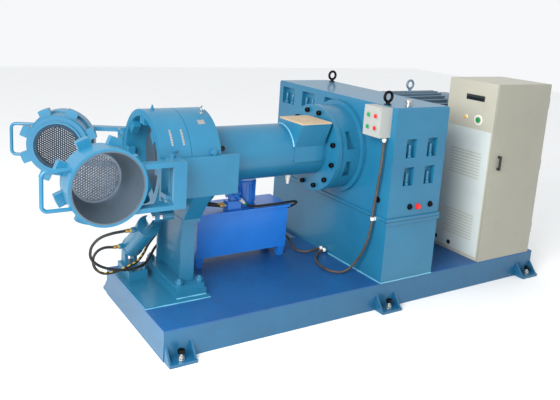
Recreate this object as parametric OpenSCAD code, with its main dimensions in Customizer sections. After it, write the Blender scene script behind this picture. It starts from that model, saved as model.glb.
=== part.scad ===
// Hot feed rubber extruder with two swing heads, on a common steel base.
// Millimetres, +Z up. The origin is on the floor, midway between the four
// corner anchor bolts. +X runs from the heads to the drive end and -Y is the
// operator's side. Inside the modules, x counts from the head end of the base
// and y from its operator's side.

/* [Base] */
// Length of the base frame
base_len = 3550; // [3520:10:3800]
// Width of the base frame
base_w = 1110; // [1100:5:1160]
// Height of the channel rails
rail_h = 200; // [160:5:240]
// Width of a rail's flanges
rail_flange = 75; // [60:5:90]
// Thickness of a rail's web
rail_web = 10; // [8:1:16]
// Thickness of a rail's flanges
rail_lip = 12; // [8:1:18]
// Thickness of the deck plate
deck_t = 10; // [6:1:16]
// Distance from the head end to the motor bay
bay_x = 1720; // [1690:5:1730]
// Length of the motor bay
bay_len = 1460; // [1440:10:1560]
// Depth of the motor bay behind the base
bay_w = 500; // [490:5:560]

/* [Feet] */
// Length of a foot along the rail
foot_len = 190; // [160:5:220]
// How far a foot stands out from the rail
foot_reach = 95; // [80:1:120]
// Thickness of a foot plate
foot_t = 22; // [16:1:30]
// Height of a foot's gussets
foot_rise = 120; // [80:5:150]
// Thickness of a foot's gussets
foot_gusset = 14; // [10:1:18]
// Diameter of an anchor hole
anchor_d = 26; // [22:1:32]
// Distance from an end of the base to its foot's middle
foot_inset = 100; // [100:5:130]
// Distance from the head end to the middle foot
mid_foot_x = 1822; // [1700:5:1900]

/* [Head end] */
// Height of the screw's axis above the deck
axis_h = 935; // [920:5:980]
// Distance of the screw's axis from the operator's edge
axis_y = 670; // [660:2:690]
// Distance from the head end to the lock ring's mouth
ring_x = 81; // [76:1:90]
// Length of the lock ring
ring_len = 222; // [216:1:230]
// Outer radius of the lock ring and of the barrel ring
ring_r = 347; // [340:1:352]
// Inner radius of the lock ring between its lugs
ring_bore_r = 300; // [298:1:304]
// Inner radius at the lock ring's lugs
ring_lug_r = 248; // [246:1:254]
// Thickness of the lock ring's lugs
ring_lug_t = 50; // [40:1:52]
// Width of the lugs on the ring and on the heads
lug_w = 80; // [60:1:84]
// Length of the barrel ring
barrel_ring_len = 214; // [200:1:230]
// Gap between the lock ring and the barrel ring
ring_gap = 3; // [2:1:6]
// Running clearance of turning pieces
run_gap = 0.5; // [0.3:0.1:0.8]
// Clearance between fitted fixed pieces
fit_gap = 0.3; // [0.2:0.1:0.5]

/* [Barrel] */
// Outer diameter of the barrel
barrel_d = 406; // [380:2:420]
// Bore of the barrel
bore_d = 250; // [240:1:260]
// Distance from the head end to the feed section
feed_x = 1200; // [1190:1:1210]
// Length of the feed section
feed_len = 300; // [290:1:310]
// Width of the feed section's block
feed_w = 414; // [410:1:424]
// Height of the feed block's shoulders above the axis
feed_shoulder = 62; // [54:1:70]
// Depth of the feed block below the axis
feed_drop = 55; // [45:1:65]
// Height of the hopper's top above the axis
hopper_h = 243; // [236:1:252]
// Length of the hopper along the barrel
hopper_len = 264; // [250:2:276]
// Distance from the axis to the hopper's edge on the operator's side
hopper_front = 285; // [270:1:300]
// Distance from the axis to the hopper's far edge
hopper_back = 30; // [24:1:40]
// Thickness of the hopper's walls
hopper_t = 12; // [8:1:16]
// Thickness of the cover board on the hopper
cover_t = 12; // [8:1:20]
// Length and width of the throat under the hopper
throat = 170; // [140:2:176]
// How far the throat sits to the operator's side of the axis
throat_off = 75; // [70:1:80]

/* [Screw] */
// Radius of the screw's core
core_r = 82; // [70:1:90]
// Clearance between the flights and the bore
flight_gap = 2; // [1:0.5:4]
// Pitch of the flights
flight_pitch = 230; // [200:5:260]
// Width of a flight's land
flight_w = 34; // [26:1:44]
// Radius of the screw's shank
shank_r = 80; // [70:1:82]
// Depth of the shank in the bearing housing
shank_in = 140; // [100:5:180]

/* [Heads] */
// Distance from the seat plane back to the lugs
lug_s = 40; // [36:1:44]
// Thickness of a head's lugs
lug_t = 50; // [40:1:52]
// Radius over the tips of a head's lugs
lug_r = 275; // [270:1:280]
// Radius of a head's neck
neck_r = 222; // [216:1:226]
// Radius of a head's outlet end
outlet_r = 235; // [228:1:240]
// Thickness of the lip round a head's outlet
lip_t = 24; // [20:1:28]
// Length of a head from its seat to its outlet
head_len = 262; // [255:1:290]
// Length of the wider outlet end
outlet_len = 97; // [92:1:100]
// Radius of a head's round nose
nose_r = 214; // [208:1:220]
// Length of the nose behind the screen's rim
nose_len = 22; // [18:1:26]
// Radius of the screen's rim
rim_r = 178; // [174:1:182]
// Radius of the screen plate
screen_r = 164; // [160:1:166]
// Thickness of the screen plate
screen_t = 26; // [20:1:30]
// Radius of a head's bore behind the screen
head_bore_r = 154; // [150:1:156]
// Distance of a hinge's pin from the screw's axis
hinge_off = 450; // [446:1:456]
// Distance from the lock ring's mouth to the hinge pins
hinge_in = 36; // [34:1:40]
// How far the front head stands open
front_open = 90; // [85:1:95]
// How far the rear head stands open
rear_open = 115; // [110:1:120]
// Diameter of a hinge pin
pin_d = 40; // [30:1:46]
// Radius of a hinge eye
eye_r = 42; // [38:1:46]
// Height between the two arms of a head
arm_gap = 270; // [250:2:290]
// Thickness of a head's arms
arm_t = 30; // [22:1:36]
// How far the hinges sit below the axis
hinge_drop = 30; // [20:1:40]
// Height of a handle
handle_h = 230; // [200:2:250]
// Reach of a handle beyond the head
handle_reach = 130; // [110:2:150]
// Diameter of a handle's bar
handle_d = 24; // [18:1:28]
// Radius of the bends in a handle's bar
handle_bend = 34; // [26:1:40]

/* [Saddle] */
// Thickness of the saddle's cheeks
cheek_t = 28; // [24:1:32]
// Clearance between the cheeks and the rings
cheek_gap = 6; // [5:1:8]
// Height of the cheeks above the axis
cheek_up = 88; // [84:1:89]
// Depth of the cheeks below the axis
cheek_down = 185; // [178:1:188]
// Length of the cheeks
cheek_len = 560; // [540:2:580]
// Depth of the saddle's block below the barrel ring
saddle_drop = 40; // [32:1:48]
// Length of the rib under the saddle along the machine
rib_len = 130; // [110:2:150]
// Length of the pad beyond the pedestal's foot
pad_margin = 12; // [8:1:30]
// Width of that pad
pad_w = 690; // [660:5:720]
// Thickness of that pad
pad_t = 12; // [8:1:16]
// Length of the pedestal's foot
ped_len = 228; // [220:2:240]
// Width of the pedestal's foot
ped_w = 610; // [600:5:640]
// Thickness of the pedestal's plates
ped_t = 25; // [20:1:30]
// Thickness of the step on the pedestal's foot
step_t = 34; // [26:1:40]
// Length of the pedestal's column along the machine
col_len = 100; // [90:2:120]
// Width of the column across the machine
col_w = 440; // [420:5:460]
// Thickness of the column's flanges and web
col_t = 22; // [16:1:28]
// Distance from the head end to the pedestal
ped_x = 240; // [236:1:246]

/* [Lock cylinder] */
// Radius of the ear's pin about the screw's axis
ear_pin_r = 398; // [396:1:402]
// Angle that the lock ring turns
lock_turn = 22.5; // [22:0.5:23]
// Height of the cylinder's tail pivot above the pad
pivot_h = 156; // [150:1:164]
// Distance of that pivot behind the screw's axis
pivot_back = 300; // [292:1:308]
// Distance from the ring's mouth to the ear's middle
ear_in = 40; // [38:1:44]
// Thickness of the ear
ear_t = 30; // [26:1:34]
// Diameter of the ear's pin
ear_pin_d = 24; // [20:1:26]
// Clearance round that pin in the ear
ear_play = 6; // [5:0.5:7]
// Outer diameter of the cylinder
ram_d = 150; // [140:1:156]
// Diameter of the rod
rod_d = 50; // [44:1:56]
// Distance from the ear's pin to the cylinder's mouth
ram_gap = 160; // [154:1:170]
// Length of the tail between the cylinder and its pivot
tail_len = 85; // [80:1:92]

/* [Gearbox] */
// Distance from the head end to the gearbox
gear_x = 1757; // [1750:1:1765]
// Length of the gearbox along the machine
gear_len = 528; // [510:2:540]
// Depth of the gearbox across the machine
gear_d = 1586; // [1560:2:1590]
// Height of the gearbox's lower case above the deck
split_h = 486; // [460:2:510]
// Height of the whole gearbox above the deck
gear_h = 1350; // [1320:5:1380]
// Thickness of the flanges at the split
split_t = 26; // [20:1:32]
// Overhang of those flanges
split_out = 10; // [6:1:16]
// Radius of the bearing housing's bolted flange
flange_r = 345; // [335:1:350]
// Thickness of that flange
flange_t = 45; // [36:1:50]
// Radius of the bearing housing's drum
drum_r = 336; // [330:1:342]
// Radius of the housing's ring on the gearbox
house_r = 372; // [362:1:376]
// Thickness of that ring
house_t = 34; // [28:1:40]
// Number of windows in the bearing housing
house_windows = 4; // [2:1:6]
// Depth of those windows
window_d = 48; // [40:1:54]

/* [Motor] */
// Distance of the motor's axis from the operator's edge
motor_y = 850; // [840:5:880]
// Height of the motor's axis above the deck
motor_h = 1045; // [1030:5:1070]
// Radius of the motor's body
motor_r = 262; // [250:1:270]
// Height of the motor's fins
fin_h = 34; // [26:1:40]
// Length of the motor's finned body
motor_len = 640; // [600:5:660]
// Length of the adapter between gearbox and motor
adapter_len = 60; // [50:1:80]
// Length of the fan's cowl
cowl_len = 150; // [130:5:160]
// Width of the motor's stand
stand_w = 470; // [440:5:500]
// Length of the motor's stand
stand_len = 470; // [440:5:500]
// Thickness of the stand's plates
stand_t = 20; // [14:1:26]

/* [Cabinet] */
// Distance from the drive end to the cabinet
cab_inset = 61; // [50:1:70]
// Length of the cabinet
cab_len = 655; // [640:5:665]
// Depth of the cabinet
cab_d = 535; // [520:5:540]
// Height of the cabinet
cab_h = 1508; // [1480:4:1540]
// Thickness of the cabinet's walls
cab_t = 5; // [4:1:8]
// Thickness of the cabinet's door
door_t = 20; // [16:1:24]
// Height of the grey lower panel
panel_h = 1080; // [1000:5:1120]
// Height of the louvre slots
louvre_h = 9; // [6:1:12]
// Radius of the selector knob
knob_r = 19; // [16:1:22]

/* [Control box] */
// Width of the control box
box_w = 190; // [180:2:200]
// Height of the control box
box_h = 222; // [210:2:234]
// Depth of the control box
box_d = 105; // [90:1:120]
// Distance of the control box from the operator's edge
box_y = 55; // [50:1:64]
// Distance of its top below the gearbox's top
box_drop = 4; // [2:1:10]
// Radius of a push button
button_r = 15; // [12:1:16]
// Travel of a push button
button_travel = 4; // [3:0.5:5]

/* [Hydraulics] */
// Distance from the head end to the oil tank
tank_x = 572; // [566:2:580]
// Distance of the tank from the operator's edge
tank_y = 778; // [774:1:784]
// Length of the tank's lid
tank_len = 838; // [820:2:850]
// Width of the tank's lid
tank_w = 320; // [310:2:326]
// Height of the tank's lid above the deck
tank_h = 440; // [424:2:450]
// Height of the legs under the tank
leg_h = 84; // [76:1:92]
// Width of a leg
leg_w = 66; // [60:1:72]
// Thickness of the lid
lid_t = 20; // [14:1:24]
// Overhang of the lid
lid_out = 15; // [10:1:18]
// Diameter of the pump's motor
pump_d = 168; // [150:2:180]
// Height of the pump's motor
pump_h = 215; // [200:2:230]

/* [Hidden] */
$fn = 64;
// Overrun of cuts
over = 2;
deck_z = rail_h + deck_t;
axis_z = deck_z + axis_h;
pad_top = deck_z + pad_t;
pad_len = ped_x + ped_len + pad_margin;
anchor_y = foot_reach / 2;
bore_r = bore_d / 2;
barrel_r = barrel_d / 2;
// Oil tank's legs
leg_toe_share = 0.9;
// Lock ring: lip before its lugs and play between its lugs and a head's
ring_lip = 4;
lock_gap = 7;
seat_gap = 1;
lug_count = 8;
lug_pitch = 360 / lug_count;
ring_end = ring_x + ring_len;
seat_x = ring_x + ring_lip + ring_lug_t + lock_gap + lug_t + lug_s;
face_x = seat_x - seat_gap;
band_x = ring_end + ring_gap;
band_end = band_x + barrel_ring_len;
spigot_r = ring_bore_r - run_gap;
feed_end = feed_x + feed_len;
house_len = gear_x - feed_end;
ped_top = axis_z - ring_r - saddle_drop;
// Screen plates
screen_holes = 12;
screen_hole_d = 26;
screen_hole_ring_share = 0.6;
// Hinges of the heads
hinge_x = ring_x + hinge_in;
front_hinge_y = axis_y - hinge_off;
rear_hinge_y = axis_y + hinge_off;
upper_arm_z = axis_z - hinge_drop + arm_gap / 2 - arm_t / 2;
lower_arm_z = axis_z - hinge_drop - arm_gap / 2 - arm_t / 2;
arm_w = 70;
arm_s = head_len - outlet_len / 2;
arm_x = face_x - arm_s;
wall_r = (head_bore_r + outlet_r) / 2;
mouth_r = outlet_r - lip_t;
land_len = 12;
pin_end = 16;
// Steps of the pedestal's foot
ped_foot_t = 46;
step_in = 12;
// Saddle
cheek_in = ring_r + cheek_gap;
cheek_out = cheek_in + cheek_t;
cheek_x = hinge_x - eye_r;
saddle_foot_share = 0.76;
saddle_foot_w = ped_w * saddle_foot_share;
// Lock ring's ear and its cylinder
ear_x = ring_x + ear_in;
ear_rim = 20;
ear_r = ear_pin_d / 2 + ear_play + ear_rim;
ram_line_r = ear_pin_r * (1 + cos(lock_turn / 2)) / 2;
rod_pin_s = ear_pin_r * sin(lock_turn / 2);
pivot_y = axis_y + pivot_back;
pivot_z = pad_top + pivot_h;
pivot_far = norm([pivot_back, axis_z - pivot_z]);
ram_slope = acos(ram_line_r / pivot_far) - atan2(pivot_back, axis_z - pivot_z);
ear_rest = ram_slope - lock_turn / 2;
pivot_s = sqrt(pivot_far * pivot_far - ram_line_r * ram_line_r);
ram_len = pivot_s - rod_pin_s - ram_gap - tail_len;
rod_travel = 2 * rod_pin_s;
fork_gap = 2;
fork_t = 20;
fork_r = 32;
fork_len = 48;
fork_root = 30;
rod_hold = 30;
gland_t = 34;
gland_rim = 4;
gland_d = ram_d + 2 * gland_rim;
cap_t = 24;
tail_w = 40;
tail_r = 36;
pivot_d = 28;
bracket_base_h = 70;
bracket_len = 140;
bracket_front = 200;
bracket_rear = 45;
port_r = 15;
port_len = 34;
port_in = 42;
boss_gap = 2;
boss_r = 33;
boss_len = 84;
boss_neck_w = 44;
boss_neck_len = 60;
bracket_lug_t = 24;
bracket_lug_w = 110;
// Feed section
hopper_in = 2;
hopper_x = feed_x + hopper_in;
hopper_w = hopper_front + hopper_back;
hopper_y = axis_y - hopper_front;
hopper_root = 90;
throat_x = hopper_x + (hopper_len - throat) / 2;
// Screw
nose_len_s = 90;
nose_tip_r = 30;
screw_x = seat_x + nose_len_s;
flight_len = feed_end - screw_x - flight_w;
flight_steps = 12;
// Windows of the bearing housing, two on each side
groove_w = 9;
groove_d = 14;
window_w = 138;
window_h = 84;
window_top = 42;
window_z = flange_t + groove_w + 44;
window_turn = 70;
window_step = 40;
window_jump = 100;
// Gearbox
gear_end = gear_x + gear_len;
gear_top = deck_z + gear_h;
split_z = deck_z + split_h;
case_edge = 14;
pocket_w = 100;
pocket_h = 143;
pocket_d = 40;
end_pocket_w = 186;
end_pocket_shares = [0.505, 0.711, 0.905];
end_pocket_h_share = 0.911;
front_pocket_shares = [0.328, 0.731];
front_pocket_h_shares = [0.613, 0.773];
eye_x_shares = [0.09, 0.91];
eye_y_shares = [0.105, 0.91];
eye_ring_r = 36;
eye_bar_r = 10;
eye_neck_r = 15;
eye_neck_h = 24;
eye_boss_r = 24;
// Motor
motor_z = deck_z + motor_h;
motor_x = gear_end + adapter_len;
adapter_r = 230;
fin_count = 36;
fin_t = 9;
motor_foot_h = 26;
stand_top = motor_z - motor_r - fin_h - motor_foot_h;
stand_x = motor_x + (motor_len - stand_len) / 2;
motor_foot_w = 330;
terminal_w = 200;
terminal_h = 150;
terminal_d = 90;
// Cabinet
cab_y = door_t + run_gap;
cab_end = base_len - cab_inset;
cab_x = cab_end - cab_len;
knuckle = 8;
knuckle_h = 46;
hinge_shares = [0.12, 0.5, 0.86];
handle_x_share = 0.14;
handle_z_share = 0.53;
grip_w = 20;
grip_h = 120;
grip_out = 26;
panel_t = 3;
panel_y = 32;
panel_z = 30;
panel_w = cab_d - 2 * panel_y;
louvre_count = 9;
louvre_step = 26;
louvre_edge = 70;
louvre_h_shares = [0.12, 0.62];
knob_out = 24;
knob_y_share = 0.34;
knob_z_share = 0.79;
// Control box
box_x = gear_x - box_d;
box_top = gear_top - box_drop;
button_y_shares = [0.70, 0.28];
button_z_shares = [0.30, 0.70];
collar_rim = 5;
collar_r = button_r + collar_rim;
collar_h = 6;
button_out = 6;
button_hole = 20;
button_play = 0.4;
// Hydraulics
pump_x_share = 0.58;
pump_y_share = 0.48;
pump_base_h = 18;
valve_in = 280;
valve_side = 32;
valve_w = 118;
valve_d = 78;
valve_h = 70;
valve_port_len = 28;
valve_port_h = 40;
valve_port_step = 38;
valve_port_side = 20;
spool_w = 60;
spool_d = 50;
spool_h = 92;
spool_z = 26;
coil_r = 22;
elbow_r = 12;
elbow_in = 53;
elbow_out = 14;
elbow_h = 126;
elbow_len = 83;
elbow_fall = 42.2;
// Fittings that cords run into
fitting_r = 14;
fitting_len = 30;
tank_gland_y = 222;
tank_gland_h = 123;
tank_return_y = 212;
tank_return_h = 330;
wall_gland_len = 32;
wall_gland_y = 690;
wall_gland_step = 45;
wall_gland_h = 30;
box_gland_len = 18;
box_gland_y = 17;
box_gland_x = 39;
clip_h = 24;
clip_rim = 4;
clip_x = 27;
clip_y = 120;
// Cords and their routes, in base coordinates
hose_d = 20;
conduit_d = 20;
cord_sides = 10;
lock_hose_a_route = [[12, 630, 663], [-40, 630, 663], [-130, 636, 654], [-205, 650, 626],
    [-252, 670, 562], [-248, 695, 478], [-190, 716, 408], [-100, 733, 358], [0, 745, 330],
    [95, 762, 322], [180, 806, 326], [245, 868, 345], [300, 925, 380], [370, 950, 435],
    [435, 945, 505], [490, 936, 585], [545, 920, 662], [650, 880, 697], [740, 842, 695],
    [795, 830, 690], [824, 830, 690]];
lock_hose_b_route = [[12, 873, 460], [-30, 873, 460], [-87, 873, 466], [-138, 871, 454],
    [-175, 859, 422], [-187, 845, 379], [-174, 830, 336], [-139, 817, 305],
    [-95, 816, 292], [-30, 815, 296], [45, 819, 312], [110, 836, 325],
    [165, 866, 342], [215, 908, 372], [265, 948, 418], [325, 965, 475],
    [385, 965, 540], [445, 958, 610], [510, 950, 682], [590, 934, 714],
    [668, 908, 718], [738, 880, 702], [795, 868, 690], [824, 868, 690]];
control_conduit_route = [[1718, 72, 1316], [1718, 72, 1250], [1719, 80, 1090], [1720, 98, 930],
    [1720, 118, 770], [1720, 120, 725], [1720, 120, 665], [1716, 138, 545], [1708, 176, 420],
    [1692, 228, 318], [1660, 268, 246], [1605, 284, 221], [1545, 318, 221], [1520, 390, 221],
    [1528, 480, 221], [1562, 575, 221], [1615, 645, 224], [1680, 685, 236], [1703, 690, 240],
    [1725, 690, 240]];
tank_conduit_route = [[1725, 735, 240], [1700, 735, 240], [1673, 738, 239], [1634, 736, 233],
    [1585, 749, 224], [1549, 783, 222], [1532, 836, 225], [1534, 882, 236],
    [1534, 930, 271], [1514, 968, 303], [1484, 990, 324], [1445, 1000, 333],
    [1425, 1000, 333]];
tank_hose_route = [[967, 796, 720], [997, 796, 693], [1045, 798, 670], [1110, 800, 662],
    [1210, 800, 662], [1310, 800, 662], [1400, 801, 664], [1462, 814, 660], [1514, 846, 640],
    [1538, 896, 608], [1528, 946, 574], [1482, 982, 547], [1448, 990, 540], [1425, 990, 540]];
// Deck and anchors
foot_xs = [foot_inset, mid_foot_x, base_len - foot_inset];
machine_blue = [0.27, 0.52, 0.68];
deck_blue = [0.20, 0.40, 0.56];
tank_blue = [0.20, 0.42, 0.78];
steel = [0.62, 0.64, 0.66];
cream = [0.80, 0.78, 0.72];

// Places a child given in base coordinates
module local() { translate([-base_len / 2, -base_w / 2, 0]) children(); }
module box(p, s) { translate(p) cube(s); }
// Turns a child's z axis to +X at a point
module along_x(x, y, z) { translate([x, y, z]) rotate([0, 90, 0]) children(); }
module on_axis(x) { along_x(x, axis_y, axis_z) children(); }
// Extrudes an outline drawn in y and z along x
module profile_x(x, len) { translate([x, 0, 0]) rotate([90, 0, 90]) linear_extrude(len) children(); }
// Turns children about an upright line
module swing(x, y, a) { translate([x, y, 0]) rotate([0, 0, a]) translate([-x, -y, 0]) children(); }
module across_axis() { translate([0, 2 * axis_y, 0]) mirror([0, 1, 0]) children(); }

// A channel with closed ends, its web at y = 0 and its open side to +y
module channel(len) {
    difference() {
        cube([len, rail_flange, rail_h]);
        box([rail_web, rail_web, rail_lip],
            [len - 2 * rail_web, rail_flange, rail_h - 2 * rail_lip]);
    }
}
module foot() {
    difference() {
        box([-foot_len / 2, -foot_reach, 0], [foot_len, foot_reach, foot_t]);
        translate([0, -anchor_y, -over]) cylinder(d = anchor_d, h = foot_t + 2 * over);
    }
    for (s = [-1, 1])
        profile_x(s * (foot_len - foot_gusset) / 2 - foot_gusset / 2, foot_gusset)
            polygon([[0, foot_t], [foot_gusset - foot_reach, foot_t], [0, foot_rise]]);
}
module front_rail() {
    color(machine_blue) local() {
        channel(base_len);
        for (x = foot_xs) translate([x, 0, 0]) foot();
    }
}
module rear_rail() {
    color(machine_blue) local() translate([0, base_w, 0]) mirror([0, 1, 0]) {
        channel(base_len);
        for (x = [foot_xs[0], foot_xs[2]]) translate([x, 0, 0]) foot();
    }
}
module head_end_rail() {
    color(machine_blue) local() translate([0, rail_flange, 0]) mirror([1, -1, 0])
        channel(base_w - 2 * rail_flange);
}
module drive_end_rail() {
    color(machine_blue) local() translate([base_len, rail_flange, 0]) mirror([1, 0, 0])
        mirror([1, -1, 0]) channel(base_w - 2 * rail_flange);
}
module bay_frame() {
    color(machine_blue) local() {
        translate([bay_x, base_w + bay_w, 0]) mirror([0, 1, 0]) {
            channel(bay_len);
            for (x = [foot_inset, bay_len - foot_inset]) translate([x, 0, 0]) foot();
        }
        translate([bay_x, base_w, 0]) mirror([1, -1, 0]) channel(bay_w - rail_flange);
        translate([bay_x + bay_len, base_w, 0]) mirror([1, 0, 0]) mirror([1, -1, 0])
            channel(bay_w - rail_flange);
    }
}
module deck_plate() {
    color(deck_blue) local() box([0, 0, rail_h], [base_len, base_w, deck_t]);
}
module bay_deck() {
    color(deck_blue) local() box([bay_x, base_w, rail_h], [bay_len, bay_w, deck_t]);
}
module mounting_pad() {
    color(deck_blue) local() box([0, axis_y - pad_w / 2, deck_z], [pad_len, pad_w, pad_t]);
}
module head_pedestal() {
    col_x = ped_x + (ped_len - col_len) / 2;
    z0 = pad_top + ped_foot_t + step_t;
    z1 = ped_top - ped_t;
    color(machine_blue) local() {
        box([ped_x, axis_y - ped_w / 2, pad_top], [ped_len, ped_w, ped_foot_t]);
        box([ped_x + step_in, axis_y - ped_w / 2 + step_in, pad_top + ped_foot_t],
            [ped_len - 2 * step_in, ped_w - 2 * step_in, step_t]);
        for (y = [axis_y - col_w / 2, axis_y + col_w / 2 - col_t])
            box([col_x, y, z0], [col_len, col_t, z1 - z0]);
        box([ped_x + (ped_len - col_t) / 2, axis_y - col_w / 2, z0], [col_t, col_w, z1 - z0]);
        box([col_x, axis_y - saddle_foot_w / 2, z1], [rib_len, saddle_foot_w, ped_t]);
    }
}
// Bracket plates that carry the hinge pins
module hinge_lugs() {
    for (z = [upper_arm_z - run_gap - arm_t, lower_arm_z + arm_t + run_gap])
        translate([0, 0, z]) linear_extrude(arm_t) difference() {
            union() {
                translate([hinge_x, front_hinge_y]) circle(r = eye_r);
                translate([hinge_x - eye_r, front_hinge_y])
                    square([2 * eye_r, hinge_off - cheek_out]);
            }
            translate([hinge_x, front_hinge_y]) circle(r = pin_d / 2 + fit_gap);
        }
}
module saddle_bracket() {
    color(machine_blue) local() {
        profile_x(band_x, barrel_ring_len) translate([axis_y, axis_z]) difference() {
            translate([-cheek_out, -cheek_down]) square([2 * cheek_out, cheek_down + cheek_up]);
            circle(r = ring_r + fit_gap);
            translate([-cheek_in, 0]) square([2 * cheek_in, cheek_up + over]);
        }
        profile_x(band_x, rib_len) translate([axis_y, axis_z]) difference() {
            polygon([[-saddle_foot_w / 2, ped_top - axis_z], [saddle_foot_w / 2, ped_top - axis_z],
                [cheek_out, -cheek_down], [-cheek_out, -cheek_down]]);
            circle(r = ring_r + fit_gap);
        }
        for (y = [axis_y - cheek_out, axis_y + cheek_in])
            box([cheek_x, y, axis_z - cheek_down], [cheek_len, cheek_t, cheek_down + cheek_up]);
        hinge_lugs();
        across_axis() hinge_lugs();
    }
}
module barrel_ring() {
    color(machine_blue) local() on_axis(0) rotate_extrude()
        polygon([[bore_r, seat_x], [spigot_r, seat_x], [spigot_r, band_x], [ring_r, band_x],
            [ring_r, band_end], [bore_r, band_end]]);
}
// Bars across the axis whose ends are the lugs
module lug_bars(r) {
    for (k = [0 : lug_count / 2 - 1]) rotate(k * lug_pitch) square([2 * r, lug_w], center = true);
}
module lock_ring() {
    color(machine_blue) local() difference() {
        union() {
            on_axis(ring_x) cylinder(r = ring_r, h = ring_len);
            on_axis(ear_x - ear_t / 2) rotate(-ear_rest) {
                translate([ear_pin_r, 0]) cylinder(r = ear_r, h = ear_t);
                translate([ring_bore_r, -ear_r]) translate([ear_rim, 0])
                    cube([ear_pin_r - ring_bore_r - ear_rim, 2 * ear_r, ear_t]);
            }
            on_axis(ear_x + ear_t / 2 + fork_gap + fork_t + boss_gap) rotate(-ear_rest) {
                translate([ear_pin_r, 0]) cylinder(r = boss_r, h = boss_len);
                translate([ring_bore_r + ear_rim, -boss_neck_w / 2])
                    cube([ear_pin_r - ring_bore_r - ear_rim, boss_neck_w, boss_neck_len]);
            }
        }
        on_axis(ring_x - over) linear_extrude(ring_len + 2 * over) union() {
            circle(r = ring_lug_r);
            difference() {
                circle(r = ring_bore_r);
                lug_bars(ring_r);
            }
        }
        on_axis(ring_x - over) cylinder(r = ring_bore_r, h = ring_lip + over);
        on_axis(ring_x + ring_lip + ring_lug_t) cylinder(r = ring_bore_r, h = ring_len);
        on_axis(ear_x - ear_t) rotate(-ear_rest) translate([ear_pin_r, 0])
            cylinder(d = ear_pin_d + 2 * ear_play, h = 2 * ear_t);
    }
}
module barrel() {
    color(machine_blue) local() on_axis(band_end) difference() {
        cylinder(r = barrel_r, h = feed_x - band_end);
        translate([0, 0, -over]) cylinder(r = bore_r, h = feed_x - band_end + 2 * over);
    }
}
module feed_section() {
    color(machine_blue) local() difference() {
        union() {
            on_axis(feed_x) cylinder(r = barrel_r, h = feed_len);
            box([hopper_x, axis_y - feed_w / 2, axis_z - feed_drop],
                [hopper_len, feed_w, feed_drop + feed_shoulder]);
        }
        on_axis(feed_x - over) cylinder(r = bore_r, h = feed_len + 2 * over);
        box([throat_x, axis_y - throat_off - throat / 2, axis_z], [throat, throat, barrel_d]);
    }
}
module feed_hopper() {
    zs = axis_z + feed_shoulder;
    zt = axis_z + hopper_h;
    y0 = axis_y - feed_w / 2;
    y1 = hopper_y + hopper_w;
    color(machine_blue) local() difference() {
        profile_x(hopper_x, hopper_len) polygon([[y0, zs], [y0 + 3 / 2 * hopper_t, zs],
            [y1, zt - hopper_root], [y1, zt], [hopper_y, zt]]);
        on_axis(hopper_x - over) cylinder(r = barrel_r + fit_gap, h = hopper_len + 2 * over);
        profile_x(hopper_x + hopper_t, hopper_len - 2 * hopper_t)
            polygon([[y0 + hopper_t, zs - over], [y0 + 3 * hopper_t, zs - over],
                [y1 - hopper_t, zt - 2 * hopper_root], [y1 - hopper_t, zt + over],
                [hopper_y + hopper_t, zt + over]]);
    }
}
module feed_cover() {
    color([0.72, 0.66, 0.55]) local() box([hopper_x, hopper_y, axis_z + hopper_h],
        [hopper_len, hopper_w, cover_t]);
}
module screw() {
    color(steel) local() {
        on_axis(seat_x) cylinder(r1 = nose_tip_r, r2 = core_r, h = nose_len_s);
        on_axis(screw_x) linear_extrude(flight_len, twist = -360 * flight_len / flight_pitch,
            slices = ceil(flight_steps * flight_len / flight_pitch), $fn = 20) {
            circle(r = core_r);
            translate([0, -flight_w / 2]) square([bore_r - flight_gap, flight_w]);
        }
        on_axis(screw_x + flight_len) cylinder(r = shank_r, h = flight_w + shank_in);
    }
}
module bearing_housing() {
    color(machine_blue) local() on_axis(feed_end) difference() {
        union() {
            cylinder(r = flange_r, h = flange_t);
            cylinder(r = drum_r - groove_d, h = house_len);
            translate([0, 0, flange_t + groove_w])
                cylinder(r = drum_r, h = house_len - flange_t - groove_w);
            translate([0, 0, house_len - house_t]) cylinder(r = house_r, h = house_t);
        }
        translate([0, 0, -over]) cylinder(r = shank_r + run_gap, h = shank_in + over + fit_gap);
        for (k = [0 : house_windows - 1])
            rotate(window_turn + window_step * k + floor(k / 2) * window_jump)
                translate([drum_r - window_d, 0, window_z]) rotate([90, 0, 90])
                    linear_extrude(2 * window_d) polygon([[-window_w / 2, 0], [window_w / 2, 0],
                        [window_w / 2, window_h],
                    [-window_w / 2, window_top]]);
    }
}
module split_flange(z) {
    box([gear_x - split_out, -split_out, z],
        [gear_len + 2 * split_out, gear_d + 2 * split_out, split_t]);
}
module gearbox_pedestal() {
    color(machine_blue) local() {
        box([gear_x, 0, deck_z], [gear_len, gear_d, split_h]);
        split_flange(split_z - split_t);
        for (k = [0, 1]) along_x(gear_x - wall_gland_len, wall_gland_y + k * wall_gland_step,
            deck_z + wall_gland_h) cylinder(r = fitting_r, h = wall_gland_len + fitting_r);
    }
}
module lifting_eye() {
    cylinder(r = eye_neck_r, h = eye_neck_h);
    translate([0, 0, eye_neck_h + eye_ring_r]) rotate([90, 0, 0])
        rotate_extrude() translate([eye_ring_r, 0]) circle(r = eye_bar_r, $fn = 24);
}
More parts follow.
